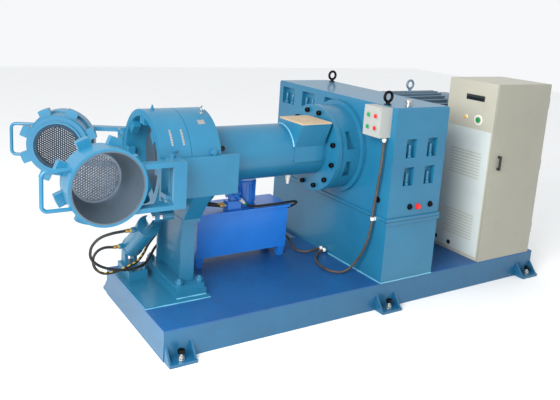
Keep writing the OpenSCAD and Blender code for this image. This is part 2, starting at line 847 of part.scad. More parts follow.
module gearbox_case() {
    color(machine_blue) local() {
        difference() {
            profile_x(gear_x, gear_len)
                polygon([[0, split_z], [gear_d, split_z], [gear_d, gear_top - case_edge],
                    [gear_d - case_edge, gear_top], [case_edge, gear_top],
                    [0, gear_top - case_edge]]);
            for (s = end_pocket_shares)
                box([gear_x - over, s * gear_d - end_pocket_w / 2,
                        deck_z + end_pocket_h_share * gear_h - pocket_h / 2],
                    [pocket_d + over, end_pocket_w, pocket_h]);
            for (s = front_pocket_shares, h = front_pocket_h_shares)
                box([gear_x + s * gear_len - pocket_w / 2, -over,
                        deck_z + h * gear_h - pocket_h / 2],
                    [pocket_w, pocket_d + over, pocket_h]);
        }
        split_flange(split_z);
        for (k = [0, 1]) translate([gear_x + eye_x_shares[k] * gear_len,
            eye_y_shares[k] * gear_d, gear_top]) lifting_eye();
    }
}
module drive_motor() {
    color(machine_blue) local() {
        along_x(gear_end, motor_y, motor_z) {
            cylinder(r = adapter_r, h = adapter_len);
            translate([0, 0, adapter_len]) linear_extrude(motor_len) union() {
                circle(r = motor_r);
                for (k = [0 : fin_count / 2 - 1]) rotate((k + 1 / 2) * 360 / fin_count)
                    square([2 * (motor_r + fin_h), fin_t], center = true);
            }
            translate([0, 0, adapter_len + motor_len]) cylinder(r = motor_r + fin_h / 2, h = cowl_len);
        }
        box([stand_x, motor_y - motor_foot_w / 2, stand_top],
            [stand_len, motor_foot_w, motor_r - motor_foot_w / 2 + fin_h + motor_foot_h]);
        box([motor_x + (motor_len - terminal_w) / 2, motor_y + motor_r - fin_h, motor_z - terminal_h / 2],
            [terminal_w, terminal_d + fin_h, terminal_h]);
        translate([motor_x + motor_len / 2, motor_y, motor_z]) {
            cylinder(r = eye_boss_r, h = motor_r + fin_h);
            translate([0, 0, motor_r + fin_h]) lifting_eye();
        }
    }
}
module motor_stand() {
    y0 = motor_y - stand_w / 2;
    color(machine_blue) local() {
        box([stand_x, y0, deck_z], [stand_len, stand_w, stand_t]);
        box([stand_x, y0, stand_top - stand_t], [stand_len, stand_w, stand_t]);
        for (x = [stand_x, stand_x + (stand_len - stand_t) / 2, stand_x + stand_len - stand_t])
            box([x, y0 + stand_t, deck_z], [stand_t, stand_w - 2 * stand_t, stand_top - deck_z]);
        box([stand_x, motor_y - stand_t / 2, deck_z], [stand_len, stand_t, stand_top - deck_z]);
    }
}
module cabinet_shell() {
    color(cream) local() {
        difference() {
            box([cab_x, cab_y, deck_z], [cab_len, cab_d - cab_y, cab_h]);
            box([cab_x + cab_t, cab_y - over, deck_z + cab_t],
                [cab_len - 2 * cab_t, cab_d - cab_y - cab_t + over, cab_h - 2 * cab_t]);
        }
        for (s = hinge_shares) translate([cab_end, 0, deck_z + s * cab_h]) {
            translate([knuckle, door_t / 2, 0]) cylinder(r = knuckle - run_gap, h = knuckle_h);
            box([0, door_t / 2, 0], [knuckle - run_gap, door_t, knuckle_h]);
        }
    }
}
module cabinet_door() {
    color(cream) local() {
        box([cab_x, 0, deck_z + run_gap], [cab_len, door_t, cab_h - 2 * run_gap]);
        for (s = hinge_shares) translate([cab_end, door_t / 2, deck_z + s * cab_h + knuckle_h + run_gap]) {
            translate([knuckle, 0, 0]) cylinder(r = knuckle - run_gap, h = knuckle_h);
            box([-over, -door_t / 4, 0], [knuckle + over, door_t / 4, knuckle_h]);
        }
    }
}
module door_handle() {
    x = cab_x + handle_x_share * cab_len;
    z = deck_z + handle_z_share * cab_h;
    color([0.05, 0.05, 0.06]) local() {
        box([x - grip_w / 2, -grip_out, z], [grip_w, grip_w / 2, grip_h]);
        for (h = [0, grip_h - grip_w]) box([x - grip_w / 2, -grip_out, z + h], [grip_w, grip_out, grip_w]);
    }
}
module louvre_panel() {
    color([0.62, 0.65, 0.65]) local() difference() {
        box([cab_x - panel_t, panel_y, deck_z + panel_z], [panel_t, panel_w, panel_h]);
        for (s = louvre_h_shares, k = [0 : louvre_count - 1])
            box([cab_x - panel_t - over, panel_y + louvre_edge,
                    deck_z + panel_z + s * panel_h + k * louvre_step],
                [panel_t + 2 * over, panel_w - 2 * louvre_edge, louvre_h]);
    }
}
module selector_knob() {
    color([0.10, 0.45, 0.25]) local() translate([cab_x - fit_gap, knob_y_share * cab_d,
        deck_z + knob_z_share * cab_h]) rotate([0, -90, 0]) {
        cylinder(r = knob_r, h = knob_out / 2);
        box([-knob_r * 4 / 5, -knob_r / 4, 0], [knob_r * 8 / 5, knob_r / 2, knob_out]);
    }
}
// Places a child at a push button, its z axis out of the control box
module at_button(i, j) {
    translate([box_x, box_y + button_y_shares[i] * box_w, box_top - button_z_shares[j] * box_h])
        rotate([0, -90, 0]) children();
}
module control_box() {
    color([0.85, 0.85, 0.80]) local() difference() {
        union() {
            box([box_x, box_y, box_top - box_h], [box_d, box_w, box_h]);
            for (i = [0, 1], j = [0, 1]) at_button(i, j) cylinder(r = collar_r, h = collar_h);
            translate([gear_x - box_gland_x, box_y + box_gland_y, box_top - box_h - box_gland_len])
                cylinder(r = fitting_r, h = box_gland_len + fitting_r);
        }
        for (i = [0, 1], j = [0, 1]) at_button(i, j) translate([0, 0, -button_hole])
            cylinder(r = button_r + button_play, h = button_hole + collar_h + over);
    }
}
module button(i, j) {
    local() at_button(i, j) translate([0, 0, button_travel + over - button_hole])
        cylinder(r = button_r, h = button_hole - button_travel - over + collar_h + button_out);
}
module button_green_1() { color([0.05, 0.55, 0.25]) button(0, 0); }
module button_green_2() { color([0.05, 0.55, 0.25]) button(0, 1); }
module button_red_1() { color([0.80, 0.10, 0.08]) button(1, 0); }
module button_red_2() { color([0.80, 0.10, 0.08]) button(1, 1); }
module oil_tank() {
    x0 = tank_x + lid_out;
    y0 = tank_y + lid_out;
    w = tank_len - 2 * lid_out;
    d = tank_w - 2 * lid_out;
    color(tank_blue) local() {
        box([x0, y0, deck_z + leg_h], [w, d, tank_h - lid_t - leg_h]);
        for (x = [x0 + over, x0 + w - leg_w - over], y = [y0 + over, y0 + d - leg_w - over])
            translate([x + leg_w / 2, y + leg_w / 2, deck_z]) rotate(45)
                cylinder(d1 = leg_w * leg_toe_share, d2 = leg_w * sqrt(2), h = leg_h + over, $fn = 4);
        for (p = [[tank_y + tank_gland_y, tank_gland_h], [tank_y + tank_return_y, tank_return_h]])
            along_x(x0 + w - fitting_r, p[0], deck_z + p[1])
                cylinder(r = fitting_r, h = fitting_len + fitting_r);
    }
}
module tank_lid() {
    color(tank_blue) local() box([tank_x, tank_y, deck_z + tank_h - lid_t], [tank_len, tank_w, lid_t]);
}
module pump_motor() {
    color(tank_blue) local() translate([tank_x + pump_x_share * tank_len,
        tank_y + pump_y_share * tank_w, deck_z + tank_h]) {
        cylinder(d = pump_d + pump_base_h, h = pump_base_h);
        cylinder(d = pump_d, h = pump_h);
    }
}
module valve_block() {
    color(steel) local() translate([tank_x + valve_in, tank_y + valve_side, deck_z + tank_h]) {
        cube([valve_w, valve_d, valve_h]);
        for (k = [0, 1]) along_x(-valve_port_len, valve_port_side + k * valve_port_step, valve_port_h)
            cylinder(r = fitting_r, h = valve_port_len + fitting_r);
        box([(valve_w - spool_w) / 2, (valve_d - spool_d) / 2, 0], [spool_w, spool_d, valve_h + spool_h]);
        along_x(0, valve_d / 2, valve_h + coil_r + spool_z) cylinder(r = coil_r, h = valve_w);
        // Elbow on the operator's side that the tank's hose starts from
        translate([elbow_in, -elbow_out, elbow_h]) {
            sphere(r = fitting_r);
            rotate([-90, 0, 0]) cylinder(r = elbow_r, h = elbow_out + valve_d / 2);
            rotate([0, 90 + elbow_fall, 0]) cylinder(r = elbow_r, h = elbow_len);
        }
    }
}
// The cylinder's frame: z along it towards its pivot, y out from the screw's axis
module ram() {
    translate([ear_x, axis_y, axis_z]) rotate([-(90 + ram_slope), 0, 0])
        translate([0, ram_line_r, 0]) children();
}
module lock_cylinder() {
    color(machine_blue) local() ram() translate([0, 0, rod_pin_s + ram_gap]) difference() {
        union() {
            cylinder(d = ram_d, h = ram_len);
            cylinder(d = gland_d, h = gland_t);
            translate([0, 0, ram_len - cap_t]) cylinder(d = gland_d, h = cap_t);
            translate([-tail_w / 2, 0, ram_len + tail_len]) rotate([0, 90, 0])
                cylinder(r = tail_r, h = tail_w);
            box([-tail_w / 2, -tail_r, ram_len - cap_t], [tail_w, 2 * tail_r, tail_len + cap_t]);
            for (s = [port_in, ram_len - port_in]) translate([-ram_d / 2 - port_len, 0, s])
                rotate([0, 90, 0]) cylinder(r = port_r, h = port_len + ram_d / 4);
        }
        translate([0, 0, -over]) cylinder(d = rod_d + 2 * run_gap, h = ram_len - cap_t);
        translate([-tail_w, 0, ram_len + tail_len]) rotate([0, 90, 0])
            cylinder(d = pivot_d + 2 * fit_gap, h = 2 * tail_w);
    }
}
module cylinder_rod() {
    w = ear_t + 2 * fork_gap + 2 * fork_t;
    color(steel) local() ram() translate([0, 0, rod_pin_s]) {
        for (x = [-w / 2, w / 2 - fork_t]) {
            translate([x, 0, 0]) rotate([0, 90, 0]) cylinder(r = fork_r, h = fork_t);
            box([x, -fork_r, 0], [fork_t, 2 * fork_r, fork_len + fork_root]);
        }
        translate([-w / 2, 0, 0]) rotate([0, 90, 0]) cylinder(d = ear_pin_d, h = w);
        box([-w / 2, -fork_r, fork_len], [w, 2 * fork_r, fork_root]);
        translate([0, 0, fork_len]) cylinder(d = rod_d, h = ram_gap - fork_len + rod_travel + rod_hold);
    }
}
module cylinder_bracket() {
    w = tail_w + 2 * fork_gap + 2 * bracket_lug_t;
    color(machine_blue) local() {
        box([ear_x - bracket_len / 2, pivot_y - bracket_front, pad_top],
            [bracket_len, bracket_front + bracket_rear, bracket_base_h]);
        for (x = [ear_x - w / 2, ear_x + w / 2 - bracket_lug_t]) {
            along_x(x, pivot_y, pivot_z) cylinder(r = tail_r, h = bracket_lug_t);
            profile_x(x, bracket_lug_t) polygon([[pivot_y - bracket_lug_w / 2, pad_top + bracket_base_h],
                [pivot_y + tail_r, pad_top + bracket_base_h],
                [pivot_y + tail_r, pivot_z], [pivot_y - tail_r, pivot_z]]);
        }
        along_x(ear_x - w / 2, pivot_y, pivot_z) cylinder(d = pivot_d, h = w);
    }
}
// A head in the closed position, hinged at the operator's side
module seated() { translate([face_x, axis_y, axis_z]) rotate([0, -90, 0]) children(); }
module head_shell() {
    rim_len = lug_s - nose_len;
    s3 = head_len - outlet_len;
    seated() {
        rotate_extrude() polygon([[0, 0], [rim_r, 0], [rim_r, rim_len], [nose_r, rim_len],
            [nose_r, lug_s], [neck_r, lug_s], [neck_r, s3], [outlet_r, s3], [outlet_r, head_len],
            [0, head_len]]);
        translate([0, 0, lug_s]) linear_extrude(lug_t) intersection() {
            circle(r = lug_r);
            rotate(lug_pitch / 2) lug_bars(lug_r);
        }
    }
}
// The room inside a head: the screen's seat, a cone and a short land at the lip
module head_room() {
    seated() rotate_extrude() polygon([[0, -over], [screen_r + fit_gap, -over],
        [screen_r + fit_gap, screen_t], [head_bore_r, screen_t], [mouth_r, head_len - land_len],
        [mouth_r, head_len + over], [0, head_len + over]]);
}
module arm(z) {
    y_end = axis_y - sqrt(wall_r * wall_r - (z + arm_t / 2 - axis_z) * (z + arm_t / 2 - axis_z));
    translate([0, 0, z]) linear_extrude(arm_t) difference() {
        union() {
            translate([hinge_x, front_hinge_y]) circle(r = eye_r);
            translate([arm_x - arm_w / 2, front_hinge_y - eye_r])
                square([hinge_x - arm_x + arm_w / 2, 2 * eye_r]);
            translate([arm_x - arm_w / 2, front_hinge_y]) square([arm_w, y_end - front_hinge_y]);
        }
        translate([hinge_x, front_hinge_y]) circle(r = pin_d / 2 + run_gap);
    }
}
module handle() {
    y0 = axis_y + sqrt(wall_r * wall_r - handle_h * handle_h / 4);
    y1 = axis_y + outlet_r + handle_reach;
    for (s = [-1, 1]) translate([arm_x, 0, axis_z + s * handle_h / 2]) {
        translate([0, y0, 0]) rotate([-90, 0, 0]) cylinder(d = handle_d, h = y1 - handle_bend - y0);
        translate([0, y1 - handle_bend, -s * handle_bend]) rotate([0, -90, 0])
            rotate([0, 0, s > 0 ? 0 : 90]) rotate_extrude(angle = 90) translate([handle_bend, 0])
                circle(d = handle_d);
    }
    translate([arm_x, y1, axis_z - handle_h / 2 + handle_bend])
        cylinder(d = handle_d, h = handle_h - 2 * handle_bend);
}
module head() {
    difference() {
        union() {
            head_shell();
            arm(upper_arm_z);
            arm(lower_arm_z);
            box([arm_x - arm_w / 2, front_hinge_y - eye_r, lower_arm_z],
                [arm_t, 2 * eye_r, upper_arm_z - lower_arm_z + arm_t]);
            handle();
        }
        head_room();
    }
}
module screen() {
    seated() difference() {
        cylinder(r = screen_r, h = screen_t);
        for (k = [0 : screen_holes - 1]) rotate(k * 360 / screen_holes)
            translate([screen_hole_ring_share * screen_r, 0, -over])
                cylinder(d = screen_hole_d, h = screen_t + 2 * over);
    }
}
module front_pose() { local() swing(hinge_x, front_hinge_y, front_open) children(); }
module rear_pose() { local() swing(hinge_x, rear_hinge_y, -rear_open) across_axis() children(); }
module front_head() { color(machine_blue) front_pose() head(); }
module front_screen() { color(steel) front_pose() screen(); }
module rear_head() { color(machine_blue) rear_pose() head(); }
module rear_screen() { color(steel) rear_pose() screen(); }
module hinge_pin(y) {
    z0 = lower_arm_z - pin_end;
    color(steel) local() translate([hinge_x, y, z0])
        cylinder(d = pin_d, h = upper_arm_z + arm_t + pin_end - z0);
}
// A round cord swept along the points of its route
function unit(v) = v / norm(v);
function headings(p) = [for (i = [0 : len(p) - 1])
    unit(p[min(i + 1, len(p) - 1)] - p[max(i - 1, 0)])];
// Sideways directions carried along a route without twist
function sideways(t, n, i = 0) = i == len(t) ? [] :
    let(m = unit(n - (n * t[i]) * t[i])) concat([m], sideways(t, m, i + 1));
module cord(p, d) {
    t = headings(p);
    n = sideways(t, abs(t[0][2]) > abs(t[0][0]) ? [1, 0, 0] : [0, 0, 1]);
    c = cord_sides;
    e = len(p) - 1;
    polyhedron([for (i = [0 : e], k = [0 : c - 1])
            p[i] + d / 2 * (cos(360 * k / c) * n[i] + sin(360 * k / c) * cross(t[i], n[i]))],
        concat([[for (k = [0 : c - 1]) k]], [[for (k = [0 : c - 1]) e * c + c - 1 - k]],
            [for (i = [0 : e - 1], k = [0 : c - 1]) let(q = (k + 1) % c)
                each [[i * c + k, i * c + c + k, i * c + c + q], [i * c + k, i * c + c + q, i * c + q]]]));
}
module conduit_clip() {
    r = conduit_d / 2 + fit_gap;
    color([0.90, 0.90, 0.88]) local()
        translate([gear_x - split_out - clip_x, clip_y, split_z - clip_h / 2]) difference() {
            union() {
                cylinder(r = r + clip_rim, h = clip_h);
                box([0, -r, 0], [clip_x, 2 * r, clip_h]);
            }
            translate([0, 0, -over]) cylinder(r = r, h = clip_h + 2 * over);
        }
}
module control_conduit() { color([0.30, 0.22, 0.18]) local() cord(control_conduit_route, conduit_d); }
module tank_conduit() { color([0.30, 0.22, 0.18]) local() cord(tank_conduit_route, conduit_d); }
module lock_hose_a() { color([0.06, 0.06, 0.06]) local() cord(lock_hose_a_route, hose_d); }
module lock_hose_b() { color([0.06, 0.06, 0.06]) local() cord(lock_hose_b_route, hose_d); }
module tank_hose() { color([0.06, 0.06, 0.06]) local() cord(tank_hose_route, hose_d); }
module front_hinge_pin() { hinge_pin(front_hinge_y); }
module rear_hinge_pin() { hinge_pin(rear_hinge_y); }

front_rail();
rear_rail();
head_end_rail();
drive_end_rail();
bay_frame();
deck_plate();
bay_deck();
mounting_pad();
head_pedestal();
saddle_bracket();
barrel_ring();
lock_ring();
barrel();
feed_section();
feed_hopper();
feed_cover();
screw();
bearing_housing();
gearbox_pedestal();
gearbox_case();
drive_motor();
motor_stand();
cabinet_shell();
cabinet_door();
door_handle();
louvre_panel();
selector_knob();
control_box();
button_green_1();
button_green_2();
button_red_1();
button_red_2();
oil_tank();
tank_lid();
pump_motor();
valve_block();
lock_cylinder();
cylinder_rod();
cylinder_bracket();
front_head();
front_screen();
rear_head();
rear_screen();
front_hinge_pin();
rear_hinge_pin();
conduit_clip();
control_conduit();
tank_conduit();
lock_hose_a();
lock_hose_b();
tank_hose();
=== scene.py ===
# %% [markdown]
# # A hot feed rubber extruder, dressed for its portrait
# The solids of the machine come ready made from the CAD model. This lesson loads
# them, sets the camera where the photographer stood, and then adds what a solid
# modeller leaves out: hoses with their sleeves, bolts, fine screens, weld beads
# and the paint itself. Every new piece is built in metres, in the same frame as
# the solids, so nothing has to be fitted by eye.

import math

import bmesh
import bpy
from mathutils import Matrix, Vector


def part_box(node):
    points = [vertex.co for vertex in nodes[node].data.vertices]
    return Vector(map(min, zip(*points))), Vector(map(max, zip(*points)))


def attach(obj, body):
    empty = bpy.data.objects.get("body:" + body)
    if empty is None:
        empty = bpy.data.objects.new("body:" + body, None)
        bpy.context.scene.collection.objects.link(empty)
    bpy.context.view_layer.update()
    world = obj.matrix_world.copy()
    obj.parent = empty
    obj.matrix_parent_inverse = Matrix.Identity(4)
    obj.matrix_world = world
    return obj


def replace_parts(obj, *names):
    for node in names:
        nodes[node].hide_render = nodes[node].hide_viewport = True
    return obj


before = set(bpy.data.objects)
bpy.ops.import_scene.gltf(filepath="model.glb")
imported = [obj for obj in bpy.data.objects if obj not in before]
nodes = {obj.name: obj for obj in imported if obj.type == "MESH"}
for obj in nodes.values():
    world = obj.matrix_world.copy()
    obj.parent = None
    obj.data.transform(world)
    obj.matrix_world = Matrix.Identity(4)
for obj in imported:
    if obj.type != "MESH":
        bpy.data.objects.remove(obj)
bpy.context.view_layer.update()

# %% [markdown]
# ## The camera
# The straight edges of the base, the gearbox and the cabinet fix where the
# photographer stood: about four metres from the head end and 2.2 m above the
# floor, looking down a little. A camera could be aimed by hand until it looks
# right, but three axes worked out from those edges place it at once. The upright
# edges hardly lean, so a small shift of the lens takes up part of the tip.

# %% Camera
FILM, LENS, LENS_SHIFT = 36.0, 42.70, -0.10
STAND = Vector((-3.298, -4.072, 2.242))
RIGHT = Vector((0.84379888, -0.53281827, 0.06409478))
DOWN = Vector((-0.05734319, -0.20826542, -0.97638992))
FORWARD = Vector((0.53358711, 0.82020132, -0.20628762))

camera_data = bpy.data.cameras.new("photographer")
camera_data.sensor_width = FILM
camera_data.lens = LENS
camera_data.shift_y = LENS_SHIFT
camera = bpy.data.objects.new("photographer", camera_data)
aim = Matrix((RIGHT, -DOWN, -FORWARD)).transposed().to_4x4()
camera.matrix_world = Matrix.Translation(STAND) @ aim
bpy.context.scene.collection.objects.link(camera)
bpy.context.scene.camera = camera
print("camera at", [round(v, 2) for v in camera.location])

# %% [markdown]
# ## Shader sums in plain Python
# A material is a small network of nodes. It could be wired by hand, node by node,
# but sums read better, so one class wraps a socket and answers to +, -, * and the
# rest. Any other node comes from the single method `node`, which takes the type,
# the settings and what goes into its sockets.

# %% Shader helper


class Wire:
    """One output socket of a material's network that can be used in sums."""

    def __init__(self, finish, socket):
        self.finish, self.socket = finish, socket

    def math(self, operation, *values):
        return self.finish.node("ShaderNodeMath", {"operation": operation}, values)

    def __add__(self, other):
        return self.math("ADD", self, other)

    def __radd__(self, other):
        return self.math("ADD", other, self)

    def __sub__(self, other):
        return self.math("SUBTRACT", self, other)

    def __rsub__(self, other):
        return self.math("SUBTRACT", other, self)

    def __mul__(self, other):
        return self.math("MULTIPLY", self, other)

    def __rmul__(self, other):
        return self.math("MULTIPLY", other, self)

    def __gt__(self, other):
        return self.math("GREATER_THAN", self, other)

    def __lt__(self, other):
        return self.math("LESS_THAN", self, other)


class Finish:
    """A material whose network is built by calls to node()."""

    def __init__(self, name, **sockets):
        self.material = bpy.data.materials.new(name)
        self.material.use_nodes = True
        self.tree = self.material.node_tree
        self.shader = self.tree.nodes["Principled BSDF"]
        self.set(**sockets)

    def join(self, value, socket):
        """Links a wire to a socket, or sets the socket to a plain value."""
        if isinstance(value, Wire):
            self.tree.links.new(value.socket, socket)
        else:
            socket.default_value = value

    def node(self, kind, settings, values, out=0):
        made = self.tree.nodes.new(kind)
        for key, value in settings.items():
            setattr(made, key, value)
        for key, value in values.items() if isinstance(values, dict) else enumerate(values):
            self.join(value, made.inputs[key])
        return Wire(self, made.outputs[out])

    def set(self, **sockets):
        """Sets the shader's own sockets; a name's spaces are written as _."""
        for key, value in sockets.items():
            self.join(value, self.shader.inputs[key.replace("_", " ")])

    def place(self):
        return self.node("ShaderNodeTexCoord", {}, {}, out="Object")

    def part(self, vector, axis):
        """One coordinate of a vector: 0, 1 or 2."""
        return self.node("ShaderNodeSeparateXYZ", {}, [vector], out=axis)

    def noise(self, where, scale, detail, rough):
        values = {"Vector": where, "Scale": scale, "Detail": detail, "Roughness": rough}
        return self.node("ShaderNodeTexNoise", {}, values)

    def spread(self, wire, low, high):
        """Stretches a value so that low becomes 0 and high becomes 1."""
        values = {"Value": wire, "From Min": low, "From Max": high}
        return self.node("ShaderNodeMapRange", {"clamp": True}, values)

    def mix(self, share, a, b):
        """Mixes two colours; the node keeps its colour sockets at 6 and 7, and its result at 2."""
        return self.node("ShaderNodeMix", {"data_type": "RGBA"}, {0: share, 6: a, 7: b}, out=2)

    def bump(self, height, strength, distance):
        values = {"Strength": strength, "Distance": distance, "Height": height}
        return self.node("ShaderNodeBump", {}, values)


def rgb(red, green, blue):
    """A screen colour, 0 to 255, as the linear colour that a shader wants."""
    linear = []
    for value in (red / 255, green / 255, blue / 255):
        linear.append(((value + 0.055) / 1.055) ** 2.4 if value > 0.04045 else value / 12.92)
    return (*linear, 1.0)


print("shader helper ready")

# %% [markdown]
# ## Enamel
# The machine is sprayed with enamel over cast and plate steel: steel blue on most
# of it, a darker batch on the deck, royal blue on the oil unit. On the rails the
# steel blue is mixed darker as painted shade, because they sit low, where less
# light reaches. A sprayed coat has a faint orange peel, pools a little darker in
# places, and gathers dust and grease low down. One plain colour would look like
# plastic, so noise goes into the colour, the roughness and the bump, and the
# shader's coat gives the clear gloss on top. The bores of the heads and of the
# barrel ring are bare. They belong to painted solids, so a mask picks them out by
# their distance from the bore's axis.

# %% Enamel
GRIME, SPECKS = rgb(52, 50, 46), rgb(150, 170, 180)
BORE_DARK, BORE_LIGHT = rgb(70, 86, 100), rgb(104, 118, 130)


def bore(centre, axis, start, slope=0.0):
    """Gives a mask that is 1 inside a bore whose radius grows from start along its axis."""

    def mask(finish, where):
        arm = finish.node("ShaderNodeVectorMath", {"operation": "SUBTRACT"}, [where, centre])
        values = [arm, axis]
        along = finish.node("ShaderNodeVectorMath", {"operation": "DOT_PRODUCT"}, values, "Value")
        reach = finish.node("ShaderNodeVectorMath", {"operation": "LENGTH"}, [arm], "Value")
        radius = start + slope * along
        return reach * reach - along * along < radius * radius

    return mask


def enamel(name, light, dark, grime=0.15, gloss=0.34, clear=0.25, bare=None):
    finish = Finish(name)
    where = finish.place()
    clouds = finish.noise(where, scale=2.3, detail=4.0, rough=0.6)
    patches = finish.noise(where, scale=9.0, detail=5.0, rough=0.6)
    dust = finish.noise(where, scale=17.0, detail=6.0, rough=0.7)
    dots = finish.noise(where, scale=140.0, detail=2.0, rough=0.5)
    low_down = finish.spread(finish.part(where, 2), low=0.62, high=0.02)
    dirt = low_down * finish.spread(dust, low=0.40, high=0.72) * grime
    colour = finish.mix(finish.spread(clouds, low=0.30, high=0.72), dark, light)
    colour = finish.mix(finish.spread(patches, low=0.42, high=0.66) * 0.22, colour, dark)
    colour = finish.mix(dirt, colour, GRIME)
    colour = finish.mix(finish.spread(dots, low=0.72, high=0.78) * 0.18, colour, SPECKS)
    finish.set(Roughness=gloss + 0.10 * clouds + 0.25 * dirt)
    finish.set(Coat_Weight=clear, Coat_Roughness=0.12)
    if bare:
        inside = bare(finish, where)
        colour = finish.mix(inside, colour, finish.mix(clouds, BORE_DARK, BORE_LIGHT))
        finish.set(Metallic=0.6 * inside, Coat_Weight=clear - clear * inside)
    peel = finish.noise(where, scale=260.0, detail=2.0, rough=0.5)
    waves = finish.noise(where, scale=38.0, detail=2.0, rough=0.5)
    relief = finish.bump(peel + 0.6 * waves, strength=0.10, distance=0.002)
    finish.set(Base_Color=colour, Normal=relief)
    return finish.material


print("enamel ready")

# %% Enamel finishes
STEEL_BLUE = rgb(30, 110, 144), rgb(20, 97, 131)
HEAD_START, HEAD_SLOPE = 0.1534, 0.2545  # a head's bore at its screen, and how it widens
front_bore = bore((-2.108, -0.221, 1.145), (0, -1, 0), HEAD_START, HEAD_SLOPE)
rear_bore = bore((-2.1144, 0.6516, 1.145), (0.42262, 0.90631, 0), HEAD_START, HEAD_SLOPE)
ring_bore = bore((0, 0.115, 1.145), (1, 0, 0), 0.296)
machine_enamel = enamel("steel_blue_enamel", *STEEL_BLUE)
front_head_enamel = enamel("front_head_enamel", *STEEL_BLUE, bare=front_bore)
rear_head_enamel = enamel("rear_head_enamel", *STEEL_BLUE, bare=rear_bore)
barrel_ring_enamel = enamel("barrel_ring_enamel", *STEEL_BLUE, bare=ring_bore)
motor_enamel = enamel("motor_grey_enamel", rgb(104, 128, 146), rgb(84, 108, 126), gloss=0.45)
# The rails' coat is the steel blue mixed darker: painted shade on the low rails.
rail_enamel_painted_shade = enamel("rail_enamel_painted_shade", rgb(19, 93, 132), rgb(14, 84, 121))
deck_enamel = enamel(
    "deck_enamel", rgb(16, 89, 146), rgb(9, 71, 126), grime=0.25, gloss=0.42, clear=0.12
)
tank_enamel = enamel("royal_blue_enamel", rgb(32, 130, 224), rgb(24, 112, 204), grime=0.2, gloss=0.32)
# The weld beads' paint is the steel blue mixed much paler: a painted highlight along each joint.
weld_highlight_enamel = enamel(
    "weld_bead_painted_highlight", rgb(104, 170, 196), rgb(80, 148, 180), grime=0.1, gloss=0.22, clear=0.5
)
print("enamels: 9")

# %% [markdown]
# ## Powder coats, plastics and board
# The cabinet and the small control box are powder coated: a finer, drier texture
# than enamel, nearly without gloss. The door's coat is the shell's mixed darker,
# painted shade on the front of the cabinet. The board that closes the hopper is
# plain fibreboard. Knobs and buttons are moulded plastic. One recipe with many
# switches could serve them all, but three short ones are easier to read and to tune.

# %% Powder coats, plastics, board
HANDLING, OIL_SOAK = rgb(128, 122, 108), rgb(120, 104, 84)


def powder_coat(name, light, dark):
    finish = Finish(name)
    where = finish.place()
    clouds = finish.noise(where, scale=1.7, detail=3.0, rough=0.5)
    clouds = finish.spread(clouds, low=0.32, high=0.70)
    smears = finish.noise(where, scale=6.0, detail=6.0, rough=0.65)
    smears = finish.spread(smears, low=0.56, high=0.75)
    tone = finish.mix(smears * 0.16, finish.mix(clouds, dark, light), HANDLING)
    grain = finish.noise(where, scale=520.0, detail=2.0, rough=0.6)
    finish.set(Base_Color=tone, Roughness=0.46 + 0.12 * clouds, Coat_Weight=0.08)
    finish.set(Normal=finish.bump(grain, strength=0.18, distance=0.001))
    return finish.material


def plastic(name, colour, rough, texture=0.08):
    finish = Finish(name)
    where = finish.place()
    wear = finish.noise(where, scale=60.0, detail=4.0, rough=0.6)
    wear = finish.spread(wear, low=0.40, high=0.75)
    worn = (*(0.55 * c + 0.03 for c in colour[:3]), 1.0)
    skin = finish.noise(where, scale=900.0, detail=1.0, rough=0.5)
    finish.set(Base_Color=finish.mix(wear * 0.25, colour, worn), Roughness=rough + 0.14 * wear)
    finish.set(Normal=finish.bump(skin, strength=texture, distance=0.0006))
    return finish.material


def fibreboard(name, light, dark):
    finish = Finish(name)
    where = finish.place()
    drawn = finish.node("ShaderNodeMapping", {}, {"Vector": where, "Scale": (1.0, 4.0, 1.0)})
    fibres = finish.noise(drawn, scale=160.0, detail=6.0, rough=0.7)
    stain = finish.noise(where, scale=11.0, detail=4.0, rough=0.6)
    stain = finish.spread(stain, low=0.45, high=0.70)
    tone = finish.mix(finish.spread(fibres, low=0.35, high=0.65), dark, light)
    finish.set(Base_Color=finish.mix(stain * 0.3, tone, OIL_SOAK), Roughness=0.72 + 0.1 * stain)
    finish.set(Normal=finish.bump(fibres, strength=0.3, distance=0.001))
    return finish.material


# The door's coat is the shell's cream mixed darker: painted shade on the cabinet's front.
door_cream_painted_shade = powder_coat("door_powder_coat_painted_shade", rgb(155, 154, 141), rgb(147, 146, 133))
shell_cream = powder_coat("shell_powder_coat", rgb(182, 180, 166), rgb(173, 171, 157))
panel_grey = powder_coat("grey_powder_coat", rgb(197, 206, 204), rgb(188, 197, 196))
box_white = powder_coat("offwhite_powder_coat", rgb(164, 167, 164), rgb(156, 159, 155))
cover_board = fibreboard("cover_fibreboard", rgb(190, 170, 142), rgb(164, 144, 116))
black_plastic = plastic("black_plastic", rgb(26, 26, 28), rough=0.38)
green_plastic = plastic("green_plastic", rgb(20, 142, 78), rough=0.28)
red_plastic = plastic("red_plastic", rgb(206, 34, 30), rough=0.28)
yellow_plastic = plastic("yellow_plastic", rgb(228, 186, 40), rough=0.30)
white_plastic = plastic("white_plastic", rgb(228, 226, 220), rough=0.36)
dark_glass = plastic("display_glass", rgb(22, 30, 34), rough=0.12, texture=0.0)
print("powder coats 4, boards 1, plastics 6")

# %% [markdown]
# ## Bare metal
# The screw, the screens and the lock rod are bare. Machining leaves fine lines,
# so a stretched noise drives both roughness and bump, and a darker noise stands
# for oil. A metal shader alone would look freshly polished. Bolts are blackened
# or zinc plated where they aren't painted over, and hose sleeves are brass.

# %% Bare metals
TOOL_LINES = (1.0, 1.0, 24.0)


